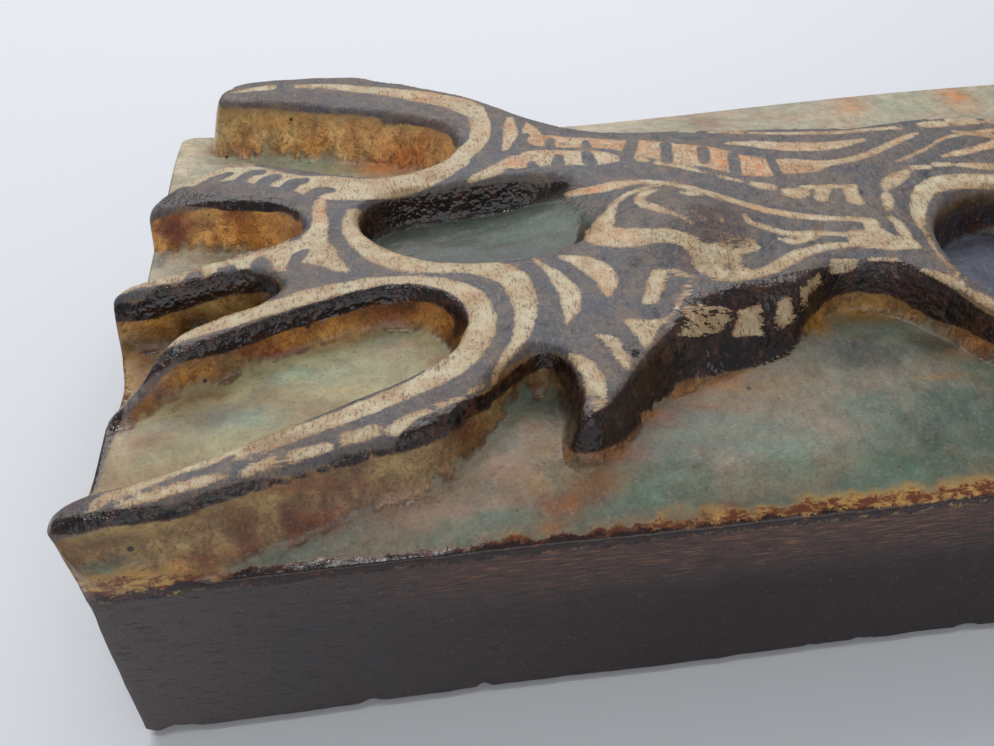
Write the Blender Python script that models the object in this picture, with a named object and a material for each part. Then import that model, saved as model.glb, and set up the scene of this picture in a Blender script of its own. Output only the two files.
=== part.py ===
"""Stoneware wall plaque: a thick slab of dark clay whose face is carved into branching fingers.

The plaque lies on its back. Its origin is the centre of the flat back, +X runs along its
length, +Y across it and +Z out of the wall, through the carved face.

The face is worked out the way it was made. It starts as a level skin above the slab, with
bosses and lowered finger tips, and each hollow is scooped out of it down to its own floor.
A hollow is one smooth closed outline, which runs half way up the hollow's wall. Outlines and
other places on the face are in millimetres from the plaque's left end and front edge.
"""

import bmesh
import bpy
import numpy as np

MM = 0.001

# Driving dimensions, in millimetres
LENGTH = 252.0
WIDTH = 101.5
SLAB = 28.0
SKIN = 9.3
CORNER_RADIUS = 2.5
BACK_CHAMFER = 0.8
EDGE_DROP = 1.6
EDGE_ROUNDING = 1.1
FRONT_BANK = 9.0
FRONT_GROUND = 2.4
FRONT_RUN = 2.4
WALL_SWEEP = 1.4
CROWN = 0.7
CROWN_REACH = 2.2
OVERHANG_DEPTH = 4.0
OVERHANG_REACH = 4.0

MIDDLE = LENGTH / 2
OUTSIDE = 14.0
BACK_OPENING = 80.0

# The sampled face, and the faceted solid that is kept of it
GRID_STEP = 0.8
CURVE_STEPS = 7
KEPT_TRIANGLES = 9000

CLAY_COLOUR = (0.30, 0.27, 0.22, 1.0)
CLAY_ROUGHNESS = 0.55

# The relief's front edge, from the left end round the hooked spur to the front of the well
FRONT_EDGE = [
    (0, 0.4), (6, 1.2), (13, 2.6), (21, 4.9), (29, 7.2), (35, 8.6), (39.5, 11), (43.5, 15.4),
    (47, 19.6), (50.4, 21.7), (53, 21), (54.1, 18), (54, 14.4), (53.2, 11), (53.1, 9.2), (54.6, 8.4),
    (56.8, 9.6), (60, 13.2), (64, 17.8), (69, 21.8), (75, 24.9), (82, 27.4), (87.5, 29), (91, 32),
    (96, 33.2), (102, 31.5), (107, 26.5), (111, 19.6), (117, 13.6), (125, 11.0),
]
# The plainer right half has no spur
PLAIN_FRONT_EDGE = [
    (6, 1.2), (16, 3.4), (27, 6.6), (37, 9.5), (45, 14.5), (53, 19.5), (62, 22.5), (72, 25.4),
    (82, 27.4), (89, 30), (96, 32.6), (102, 31.5), (107, 26.5), (111, 19.6), (117, 13.6),
]
# The relief's back edge, from the shoulder of the top finger to the middle of the plaque
BACK_EDGE = [
    (35, 100.8), (42, 97), (50, 92.6), (56, 87.5), (61, 82.3), (66, 78.2), (73, 76),
    (84, 75), (98, 73.6), (112, 72.4), (124, 73.6),
]

# The hollows between the fingers
TOP_GAP = [
    (-6, 65.5), (0, 67.6), (5, 70.2), (11, 72.8), (16, 73.2), (22, 70.8), (29, 67.9), (37, 66.9),
    (43, 69.4), (46.4, 74.5), (45.6, 79.6), (41.5, 83), (36, 85.6), (29, 87.6), (21, 89.6),
    (13, 91.8), (8, 93), (7.6, 97), (9.6, 100.6), (9, 108), (-6, 108),
]
SECOND_GAP = [
    (-6, 63.4), (1, 62.8), (8, 61.2), (14, 60.2), (18.5, 58.6), (22, 55.4), (22.4, 52.6),
    (20, 50), (14, 47.6), (8, 45), (2, 42.6), (-6, 40.5),
]
THIRD_GAP = [
    (-6, 37.6), (2, 38.6), (7, 39.4), (12, 41), (16.5, 41.8), (19.6, 39.8), (17.8, 36.8),
    (13, 34.6), (8, 32), (5, 29), (2.5, 26), (-6, 21),
]
PALM = [
    (-6, 20.5), (2, 21.6), (5.4, 24.6), (12, 28), (20, 31.6), (27, 34.2), (34, 35.6),
    (39.5, 34.2), (42.3, 30), (41, 24.5), (36, 20.4), (28, 16.6), (20, 12.8), (11, 9.2),
    (3, 6.8), (-6, 5),
]
EYE = [
    (31, 53.5), (32.4, 57.4), (36.5, 60), (43, 61), (50, 61.8), (57, 62), (62, 60.4), (64.4, 55.5),
    (63.8, 50), (61.2, 45.4), (56, 42.4), (48, 41.8), (40.5, 43), (34.6, 47),
]
WELL_CENTRE = (125.4, 33.2)
WELL_RADII = (15.2, 16.2)

# Bumps and dips of the skin on both halves: centre, reach and height
SKIN_SWELLS = {
    "boss": ((74.5, 44.5), (8.5, 8.0), 3.6),
    "top_finger": ((22, 101), (20, 9), 0.9),
    "second_finger_tip": ((-1, 65), (8, 7), -2.2),
    "third_finger_tip": ((-1, 42), (5, 5), 0.6),
    "fourth_finger_tip": ((0, 25), (6, 8), -4.6),
}
# Bumps and dips of the hollows' floors
FLOOR_SWELLS = {
    "under_spur": ((49, 13), (12, 8), 1.2),
    "eye_ramp": ((66, 54), (9, 11), 4.4),
    "plain_eye_ramp": ((LENGTH - 66, 54), (9, 11), 4.4),
    "third_gap_end": ((-1, 32), (6, 6), -1.2),
    "back_left": ((60, 104), (60, 10), -4.0),
}
# Where a wall rolls over more slowly: centre, reach and added run
WALL_ROLLS = {
    "trunk": ((76, 26), (8, 9), 8.0),
    "plain_trunk": ((LENGTH - 76, 26), (8, 9), 8.0),
    "front_finger": ((18, 2), (16, 7), 2.4),
    "eye_ramp": ((66, 54), (6, 8), 5.0),
}
# How far the fingers lean out over the left end: distance from the front, reach and lean
OVERHANGS = {"front_finger": (3, 5, 1.8), "third_finger": (38, 5, 1.1)}


def closed_curve(points, steps=CURVE_STEPS):
    """A smooth closed curve through the points: a centripetal Catmull-Rom spline."""
    here = np.array(points, float)
    after = np.roll(here, -1, axis=0)
    before = np.roll(here, 1, axis=0)
    span = np.sqrt(np.linalg.norm(after - here, axis=1))[:, None]
    last = np.roll(span, 1, axis=0)
    slope = (here - before) / last - (after - before) / (last + span) + (after - here) / span
    leave = (slope * span)[:, None, :]
    arrive = (np.roll(slope, -1, axis=0) * span)[:, None, :]
    t = (np.arange(steps) / steps)[None, :, None]
    curve = (
        (2 * t**3 - 3 * t**2 + 1) * here[:, None, :] + (t**3 - 2 * t**2 + t) * leave
        + (3 * t**2 - 2 * t**3) * after[:, None, :] + (t**3 - t**2) * arrive
    )
    return curve.reshape(-1, 2)


def oval(centre, radii, sides=64):
    """A closed oval."""
    turn = np.linspace(0, 2 * np.pi, sides, endpoint=False)
    return np.stack([centre[0] + radii[0] * np.cos(turn), centre[1] + radii[1] * np.sin(turn)], 1)


def mirrored(points):
    """The outline on the other side of the plaque's middle, in the opposite order."""
    return [(LENGTH - u, v) for u, v in reversed(points)]


def signed_distance(u, v, outline):
    """The distance from each point to a closed outline, negative inside it."""
    nearest = np.full(u.shape, np.inf)
    inside = np.zeros(u.shape, bool)
    for (au, av), (bu, bv) in zip(outline, np.roll(outline, -1, axis=0)):
        du, dv = bu - au, bv - av
        along = np.clip(((u - au) * du + (v - av) * dv) / (du * du + dv * dv + 1e-12), 0, 1)
        nearest = np.minimum(nearest, (u - au - along * du) ** 2 + (v - av - along * dv) ** 2)
        if dv:
            crosses = (av > v) != (bv > v)
            inside ^= crosses & (u < au + du * (v - av) / dv)
    return np.where(inside, -1, 1) * np.sqrt(nearest)


def swell(u, v, centre, reach, height):
    """A smooth bump that fades out over its reach."""
    return height * np.exp(-(((u - centre[0]) / reach[0]) ** 2) - ((v - centre[1]) / reach[1]) ** 2)


def all_hollows():
    """Each hollow: its outline, its floor's height and the run of its wall."""
    front = FRONT_EDGE + mirrored(PLAIN_FRONT_EDGE)
    front += [(LENGTH + OUTSIDE, 0), (LENGTH + OUTSIDE, -OUTSIDE), (-OUTSIDE, -OUTSIDE), (-OUTSIDE, 0)]
    back = BACK_EDGE + mirrored(BACK_EDGE[:-1])
    back += [(MIDDLE + BACK_OPENING, WIDTH + OUTSIDE), (MIDDLE - BACK_OPENING, WIDTH + OUTSIDE)]
    found = {
        "back_ground": (closed_curve(back), 1.0, 3.0),
        "left_third_gap": (closed_curve(THIRD_GAP), 2.2, 3.6),
        "well": (oval(WELL_CENTRE, WELL_RADII), 2.0, 2.6),
    }
    for name, outline, floor, run in (
        ("top_gap", TOP_GAP, 1.2, 4.0),
        ("second_gap", SECOND_GAP, 1.6, 2.6),
        ("palm", PALM, 4.2, 2.8),
        ("eye", EYE, 4.0, 2.6),
    ):
        found["left_" + name] = (closed_curve(outline), floor, run)
        found["right_" + name] = (closed_curve(mirrored(outline)), floor, run)
    return closed_curve(front), found


def skin_height(u, v):
    """The uncarved face: level, with a boss on each trunk, and eased at the ends and edges."""
    height = np.full(u.shape, SKIN)
    for centre, reach, amount in SKIN_SWELLS.values():
        height += swell(u, v, centre, reach, amount) + swell(LENGTH - u, v, centre, reach, amount)
    edge = np.minimum(np.minimum(u, LENGTH - u), np.minimum(v, WIDTH - v))
    return height - EDGE_DROP * np.exp(-edge / EDGE_ROUNDING)


def scooped(skin, floor, distance, run):
    """The skin scooped down to a floor, by a wall that is rounded at its lip and at its foot."""
    rise = np.clip(distance / run + 0.5, 0, 1)
    wall = 1 - (1 - rise * rise * (3 - 2 * rise)) ** WALL_SWEEP
    return floor + (skin - floor) * wall


def carved_height(u, v):
    """The face's height above the slab: the lowest that the crowned skin and the hollows leave."""
    lift = sum(swell(u, v, *each) for each in FLOOR_SWELLS.values())
    roll = sum(swell(u, v, *each) for each in WALL_ROLLS.values())
    bank = np.clip(v / FRONT_BANK, 0, 1)
    front, hollows = all_hollows()
    walls = [(signed_distance(u, v, front), (FRONT_GROUND * (2 - bank) + lift) * bank, FRONT_RUN + roll)]
    for outline, floor, run in hollows.values():
        walls.append((signed_distance(u, v, outline), floor + lift, run + roll))
    edge = np.minimum.reduce([distance for distance, _, _ in walls])
    crowned = skin_height(u, v) + CROWN * (1 - np.exp(-np.maximum(edge, 0) / CROWN_REACH))
    return np.minimum.reduce([scooped(crowned, floor, distance, run) for distance, floor, run in walls])


def rounded_corners(u, v):
    """Pulls the grid's corners in to the slab's corner radius."""
    cu = np.clip(u, CORNER_RADIUS, LENGTH - CORNER_RADIUS)
    cv = np.clip(v, CORNER_RADIUS, WIDTH - CORNER_RADIUS)
    reach = np.hypot(u - cu, v - cv)
    pull = np.minimum(1, CORNER_RADIUS / np.maximum(reach, 1e-9))
    return cu + (u - cu) * pull, cv + (v - cv) * pull


def overhang(u, v):
    """How far the finger tips lean out over the left end."""
    tips = OVERHANGS.values()
    return sum(lean * np.exp(-(((v - at) / reach) ** 2) - u / OVERHANG_REACH) for at, reach, lean in tips)


def carved_face(mesh_data):
    """The face as a grid, carved to its heights."""
    bmesh.ops.create_grid(
        mesh_data, x_segments=round(LENGTH / GRID_STEP), y_segments=round(WIDTH / GRID_STEP), size=0.5
    )
    flat = np.array([vertex.co[:2] for vertex in mesh_data.verts])
    u, v = rounded_corners((flat[:, 0] + 0.5) * LENGTH, (flat[:, 1] + 0.5) * WIDTH)
    height = SLAB + carved_height(u, v)
    places = np.stack([u - overhang(u, v) - LENGTH / 2, v - WIDTH / 2, height], 1) * MM
    for vertex, place in zip(mesh_data.verts, places):
        vertex.co = place


def lowered_rim(mesh_data, height, inset):
    """Carries the open rim down to a height, back to the slab's plan, and in by a small inset."""
    rim = [edge for edge in mesh_data.edges if edge.is_boundary]
    made = bmesh.ops.extrude_edge_only(mesh_data, edges=rim)["geom"]
    reach_x = (LENGTH / 2 - inset) * MM
    reach_y = (WIDTH / 2 - inset) * MM
    for vertex in (item for item in made if isinstance(item, bmesh.types.BMVert)):
        vertex.co.x = max(-reach_x, min(reach_x, vertex.co.x))
        vertex.co.y = max(-reach_y, min(reach_y, vertex.co.y))
        vertex.co.z = height * MM


def clay_material():
    """Glazed stoneware, as one plain finish."""
    material = bpy.data.materials.new("glazed_stoneware")
    material.use_nodes = True
    shader = material.node_tree.nodes["Principled BSDF"]
    shader.inputs["Base Color"].default_value = CLAY_COLOUR
    shader.inputs["Roughness"].default_value = CLAY_ROUGHNESS
    shader.inputs["Metallic"].default_value = 0.0
    return material


def carved_plaque():
    """The whole plaque: the carved face, the slab's sides, its chamfer and its flat back."""
    mesh_data = bmesh.new()
    carved_face(mesh_data)
    lowered_rim(mesh_data, SLAB - OVERHANG_DEPTH, 0)
    lowered_rim(mesh_data, BACK_CHAMFER, 0)
    lowered_rim(mesh_data, 0, BACK_CHAMFER)
    bmesh.ops.contextual_create(mesh_data, geom=[e for e in mesh_data.edges if e.is_boundary])
    bmesh.ops.triangulate(mesh_data, faces=mesh_data.faces)
    bmesh.ops.recalc_face_normals(mesh_data, faces=mesh_data.faces)
    mesh = bpy.data.meshes.new("plaque")
    mesh_data.to_mesh(mesh)
    mesh_data.free()
    plaque = bpy.data.objects.new("plaque", mesh)
    mesh.materials.append(clay_material())
    facets = plaque.modifiers.new("facets", "DECIMATE")
    facets.ratio = KEPT_TRIANGLES / len(mesh.polygons)
    return plaque


def main():
    for leftover in list(bpy.data.objects):
        bpy.data.objects.remove(leftover)
    parts = bpy.data.collections.new("wall_plaque")
    bpy.context.scene.collection.children.link(parts)
    parts.objects.link(carved_plaque())


main()
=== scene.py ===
"""The looks of the stoneware wall plaque: its carved, painted and glazed face, and its bare clay sides.

The face is one height field over the plaque's plan. A level skin has bosses and lowered finger
tips; each hollow is scooped out of it down to its own floor. Places on the face are in
millimetres from the plaque's left end (u), its front edge (v) and the glaze line (height).

The brush strokes are laid out on the level skin as the painter saw it from in front of the
plaque, and slide from there over raised and sunken clay. Every stroke is stored on the mesh as
a signed distance to its edge, and the glaze material turns those distances into ragged paint.
"""

from functools import partial, reduce
from math import radians

import bpy
import numpy as np
from mathutils import Matrix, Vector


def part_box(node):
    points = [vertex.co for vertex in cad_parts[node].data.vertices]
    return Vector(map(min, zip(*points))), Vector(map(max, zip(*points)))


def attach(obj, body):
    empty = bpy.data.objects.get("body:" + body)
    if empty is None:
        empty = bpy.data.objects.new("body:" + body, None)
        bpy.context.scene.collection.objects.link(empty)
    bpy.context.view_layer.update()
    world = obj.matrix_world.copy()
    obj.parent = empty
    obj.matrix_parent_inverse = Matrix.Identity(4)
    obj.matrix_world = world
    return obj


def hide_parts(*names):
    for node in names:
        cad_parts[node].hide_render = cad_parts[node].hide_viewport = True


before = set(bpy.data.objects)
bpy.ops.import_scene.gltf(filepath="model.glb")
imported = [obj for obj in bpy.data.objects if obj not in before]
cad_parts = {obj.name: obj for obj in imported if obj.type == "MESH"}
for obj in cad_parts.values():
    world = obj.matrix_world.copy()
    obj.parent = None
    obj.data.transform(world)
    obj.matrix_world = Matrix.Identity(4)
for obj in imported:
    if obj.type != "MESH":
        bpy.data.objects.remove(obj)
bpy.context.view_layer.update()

MM = 0.001

# The slab: its length and width, as the plain solid has them, its height to the glaze line, its corners
LENGTH = round(2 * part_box("plaque")[1][0] / MM)
WIDTH = round(2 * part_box("plaque")[1][1] / MM, 1)
MIDDLE = LENGTH / 2
SLAB = 28.0
CORNER_RADIUS = 2.5

# The skin above the glaze line, and how it drops at the slab's edges and swells next to the hollows
SKIN = 9.3
EDGE_DROP = 1.6
EDGE_ROUNDING = 1.1
CROWN = 0.7
CROWN_REACH = 2.2

# The hollows: how steeply a wall's foot sweeps out, the front bay, and how far outlines run past the slab
WALL_SWEEP = 1.4
FRONT_BANK = 9.0
FRONT_GROUND = 2.4
FRONT_RUN = 2.4
OUTSIDE = 14.0
BACK_OPENING = 80.0

# The tips that lean out over the left end: how far in from it, and how far down the side
OVERHANG_REACH = 4.0
OVERHANG_DEPTH = 4.0

# The painter's eye over the plaque's plan, the level that the strokes are laid out on, and where past
# the middle the painter walks over to the mirrored place
PAINTER = (33.0, -64.0, 82.0)
PAINT_LEVEL = 9.0
PAINTER_WALK = (24, 48)
# How far from a stroke's edge its signed distance is kept
FAR = 3.0
# How far down the right half's plainer walls the black reaches
PLAIN_FLANK_DEPTH = 5.0

# The face's grid: the strip along its border and the steps there, then the steps over the left and
# middle and over the plainer right end
BORDER_STRIP = 2.8
BORDER_STEP = 0.35
PLAIN_BORDER_STEP = 0.45
STEP_ALONG = 0.51
STEP_ACROSS = 0.53
PLAIN_FROM = 152
PLAIN_STEP = 1.0

# The rings down the sides: shares of the way to the end of the overhang, then heights above the back
OVERHANG_RINGS = (0.10, 0.28, 0.50, 0.75, 1.0)
SIDE_RINGS = (22.0, 19.5, 17.0, 14.0, 11.0, 8.0, 5.0, 2.6, 1.1)
FOOT_CHAMFER = 0.9

# The hand's marks, the wire's, the glaze's bead and the chips: how high each stands and how wide it
# is, and the seed of the side's two waves
FACETS = (0.16, 7.0)
GRAIN = (0.055, 1.3)
RIPPLES = (0.10, 3.2)
PITS = (0.30, 2.1)
SIDE_WAVES = ((0.22, 16.0, 95), (0.07, 2.2, 97))
BEAD = (0.10, 1.1)
CHIPS = (0.9, 4.0)

# The camera: its place in metres, its turns in degrees, and its lens and film in millimetres
CAMERA_PLACE = (-0.09314, -0.11491, 0.11004)
CAMERA_AZIMUTH = 8.68
CAMERA_PITCH = 41.04
CAMERA_ROLL = 0.50
CAMERA_LENS = 34.57
CAMERA_FILM = 36.0
CAMERA_NEAREST = 0.005

# The studio: each lamp's place, its two sizes and its watts, then the floor and the pale surround
LAMPS = {
    "window": ((-0.10, 0.58, 0.66), (1.1, 0.6), 5.6),
    "reflector": ((0.10, -0.90, 0.50), (1.0, 0.6), 2.2),
    "lamp": ((-0.18, -0.10, 0.95), (0.10, 0.10), 1.1),
}
LAMP_COLOUR = (0.96, 0.98, 1.0)
FLOOR_COLOUR = (0.80, 0.81, 0.84)
FLOOR_ROUGHNESS = 0.6
FLOOR_REACH = 3.0
FLOOR_GAP = 0.0004
SURROUND_COLOUR = (0.93, 0.95, 1.0)
SURROUND_STRENGTH = 0.33

# ---------------------------------------------------------------- the carving

# The relief's front edge, from the left end round the hooked spur to the front of the well
FRONT_EDGE = [
    (0, 0.4), (6, 1.2), (13, 2.6), (21, 4.9), (29, 7.2), (35, 8.6), (39.5, 11), (43.5, 15.4),
    (47, 19.6), (50.4, 21.7), (53, 21), (54.1, 18), (54, 14.4), (53.2, 11), (53.1, 9.2), (54.6, 8.4),
    (56.8, 9.6), (60, 13.2), (64, 17.8), (69, 21.8), (75, 24.9), (82, 27.4), (87.5, 29), (91, 32),
    (96, 33.2), (102, 31.5), (107, 26.5), (111, 19.6), (117, 13.6), (125, 11.0),
]
# The plainer right half has no spur
PLAIN_FRONT_EDGE = [
    (6, 1.2), (16, 3.4), (27, 6.6), (37, 9.5), (45, 14.5), (53, 19.5), (62, 22.5), (72, 25.4),
    (82, 27.4), (89, 30), (96, 32.6), (102, 31.5), (107, 26.5), (111, 19.6), (117, 13.6),
]
# The relief's back edge, from the shoulder of the top finger to the middle of the plaque
BACK_EDGE = [
    (35, 100.8), (42, 97), (50, 92.6), (56, 87.5), (61, 82.3), (66, 78.2), (73, 76),
    (84, 75), (98, 73.6), (112, 72.4), (124, 73.6),
]
TOP_GAP = [
    (-6, 65.5), (0, 67.6), (5, 70.2), (11, 72.8), (16, 73.2), (22, 70.8), (29, 67.9), (37, 66.9),
    (43, 69.4), (46.4, 74.5), (45.6, 79.6), (41.5, 83), (36, 85.6), (29, 87.6), (21, 89.6),
    (13, 91.8), (8, 93), (7.6, 97), (9.6, 100.6), (9, 108), (-6, 108),
]
SECOND_GAP = [
    (-6, 63.4), (1, 62.8), (8, 61.2), (14, 60.2), (18.5, 58.6), (22, 55.4), (22.4, 52.6),
    (20, 50), (14, 47.6), (8, 45), (2, 42.6), (-6, 40.5),
]
THIRD_GAP = [
    (-6, 37.6), (2, 38.6), (7, 39.4), (12, 41), (16.5, 41.8), (19.6, 39.8), (17.8, 36.8),
    (13, 34.6), (8, 32), (5, 29), (2.5, 26), (-6, 21),
]
PALM = [
    (-6, 20.5), (2, 21.6), (5.4, 24.6), (12, 28), (20, 31.6), (27, 34.2), (34, 35.6),
    (39.5, 34.2), (42.3, 30), (41, 24.5), (36, 20.4), (28, 16.6), (20, 12.8), (11, 9.2),
    (3, 6.8), (-6, 5),
]
EYE = [
    (31, 53.5), (32.4, 57.4), (36.5, 60), (43, 61), (50, 61.8), (57, 62), (62, 60.4), (64.4, 55.5),
    (63.8, 50), (61.2, 45.4), (56, 42.4), (48, 41.8), (40.5, 43), (34.6, 47),
]
WELL_CENTRE = (125.4, 33.2)
WELL_RADII = (15.2, 16.2)

# Bumps and dips of the skin on both halves: centre, reach and height
SKIN_SWELLS = {
    "boss": ((74.5, 44.5), (8.5, 8.0), 3.6),
    "top_finger": ((22, 101), (20, 9), 0.9),
    "second_finger_tip": ((-1, 65), (8, 7), -2.2),
    "third_finger_tip": ((-1, 42), (5, 5), 0.6),
    "fourth_finger_tip": ((0, 25), (6, 8), -4.6),
}
# Bumps and dips of the hollows' floors
FLOOR_SWELLS = {
    "under_spur": ((49, 13), (12, 8), 1.2),
    "eye_ramp": ((66, 54), (9, 11), 4.4),
    "plain_eye_ramp": ((LENGTH - 66, 54), (9, 11), 4.4),
    "third_gap_end": ((-1, 32), (6, 6), -1.2),
    "back_left": ((60, 104), (60, 10), -4.0),
}
# Where a wall rolls over more slowly: centre, reach and added run
WALL_ROLLS = {
    "trunk": ((76, 26), (8, 9), 8.0),
    "plain_trunk": ((LENGTH - 76, 26), (8, 9), 8.0),
    "front_finger": ((18, 2), (16, 7), 2.4),
    "eye_ramp": ((66, 54), (6, 8), 5.0),
}
# How far the fingers lean out over the left end: distance from the front, reach and lean
OVERHANGS = {"front_finger": (3, 5, 1.8), "third_finger": (38, 5, 1.1)}

# ---------------------------------------------------------------- the brush strokes

# Each cream stroke is a run of points: along, across and half its width
CREAM_FINGERS = [
    # round the long hollow: from the front finger's tip, round its end, and out along the fourth finger
    [(3, 4, 0.5), (5, 5.6, 0.75), (9, 7.5, 0.85), (13, 9.2, 0.95), (17, 10, 0.95), (21, 11.5, 1.2),
     (26, 13.6, 1.45), (31, 15.8, 1.7), (36, 18.3, 1.85), (39.8, 20.5, 1.95), (42.8, 23.4, 1.85),
     (44.8, 27.4, 1.9), (45, 31, 1.95), (44, 34.6, 1.8), (41, 37.3, 1.3), (36.5, 38.7, 1.1),
     (31.5, 38.6, 1.3), (28.7, 38, 1.55), (25.9, 37.4, 1.55), (22.7, 36.5, 1.5), (18.6, 34.8, 1.4),
     (13.6, 32.7, 1.2), (10.7, 31.6, 0.95), (7.9, 30, 0.7), (6.1, 28.5, 0.55), (4.9, 27.1, 0.36),
     (3.5, 26.1, 0.2)],
    # the front finger's second line, which breaks into blocks
    [(5.5, 3.9, 0.45), (9.5, 5.2, 0.75), (13.4, 6.3, 0.7), (15.1, 6.7, 0.4)],
    [(17.4, 6.9, 0.75), (18.9, 7.5, 0.9), (20.2, 8.1, 0.65)],
    [(22.3, 8.4, 0.95), (25.5, 9.3, 0.85)],
    [(28, 10.3, 1.0), (31, 11.2, 0.95)],
    [(33, 10.9, 0.9), (34.6, 11.8, 1.2), (37.2, 12.9, 0.95)],
    [(38.6, 13.9, 0.8), (40.8, 14.6, 0.5)],
    [(42, 16, 0.4), (43.4, 16.8, 0.5)],
    # the arch over the palm's end, which goes on round the eye's near rim
    [(44.8, 17, 0.3), (46.1, 20, 0.55), (47.9, 22.6, 0.75), (49.5, 25.4, 1.0), (50.8, 29.6, 1.4),
     (51, 34.4, 1.85), (49.9, 38, 2.1), (46.6, 40.4, 1.9), (43.5, 41.1, 1.5), (40.5, 41.4, 1.5),
     (37, 42.4, 1.75), (34, 44.2, 1.75), (31.5, 47.2, 1.5), (29.9, 50.8, 1.3), (29.6, 54, 1.15),
     (30.2, 56.6, 1.0)],
    # the two crescents beside it
    [(53.6, 41.6, 0.2), (54.6, 40, 0.4), (55.9, 37.5, 0.95), (56.7, 35, 1.35), (57.1, 32.8, 1.4),
     (56.7, 30.2, 1.2), (56, 28.3, 0.7), (55.4, 27, 0.3)],
    [(57.8, 41.2, 0.5), (60, 39.9, 1.4), (61.8, 37.8, 1.9), (62.5, 35.6, 1.6), (62.3, 33.6, 1.05),
     (61.9, 31.8, 0.4)],
    # the second finger's back, round the top gap's end and out along the top finger
    [(3.2, 65.6, 0.5), (5.2, 67.4, 1.0), (7.5, 69, 1.6), (10.4, 70.2, 2.1), (14, 70.2, 2.4),
     (17.3, 68.5, 2.3), (20.1, 67, 2.2), (23.1, 65.6, 2.5), (26, 64.4, 3.3), (29.9, 63.2, 3.2),
     (34.3, 62.8, 3.2), (37.3, 63.2, 3.1), (40.4, 64.5, 2.6), (43.7, 67.1, 2.4), (47.3, 70.8, 2.3),
     (50, 74.5, 2.0), (51.6, 79.1, 1.8), (52.1, 84.2, 1.9), (50.4, 88.2, 2.5), (47.1, 91, 2.2),
     (42.8, 93.4, 2.1), (37.8, 95.8, 1.6), (32.6, 97.7, 1.4), (28.5, 99.1, 1.25), (25.7, 100, 0.8)],
    [(21.8, 100.2, 0.7), (24.6, 100, 1.0)],
    [(10.4, 98.6, 0.6), (13.5, 99.6, 1.1), (17, 100.4, 1.1)],
    # the third finger's back, whose cream hangs down in teeth, and the patch where it joins the second
    [(-0.2, 40.4, 0.3), (1.5, 41.8, 0.6), (3.5, 43, 0.65), (5.1, 44, 0.7), (6.4, 44.4, 0.8),
     (7.6, 44.9, 1.0), (8.8, 45.6, 0.85), (10.1, 45.6, 0.95), (11.4, 45.7, 1.05), (12.7, 46.1, 0.65),
     (14, 46.3, 0.75), (15.3, 46.4, 1.05), (16.6, 47.4, 0.65), (18.6, 47.8, 0.9), (19.9, 47.4, 2.0),
     (22.2, 47.8, 2.6), (24.4, 47.1, 2.8), (26.4, 44.8, 1.6), (27.7, 43.1, 1.0), (28.8, 42, 0.45)],
    [(3.6, 42.8, 0.9), (5, 42.9, 1.1), (7, 43.2, 0.8)],
    [(10.8, 45, 0.9), (11.1, 43.2, 0.7)],
    [(15.2, 45.4, 1.0), (15.4, 43.8, 0.7)],
    [(19.7, 46.7, 1.2), (20, 45, 1.1), (20.2, 43.7, 0.8)],
    [(25.3, 60, 0.9), (25.1, 56.5, 1.15), (25.1, 53.3, 1.5), (24.5, 50.3, 1.9)],
]
CREAM_SPUR = [
    [(53.8, 20.9, 0.3), (55.3, 20.1, 0.8), (56.1, 18.5, 1.15), (56.5, 16.3, 1.2), (56.4, 14.3, 1.15),
     (55.9, 12.4, 1.1), (55.4, 10.9, 0.9)],
    [(59, 23.9, 0.4), (60, 22.9, 0.85), (60.6, 21.2, 1.0), (60.8, 19.3, 0.9), (60.8, 17.7, 0.45)],
]
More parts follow.
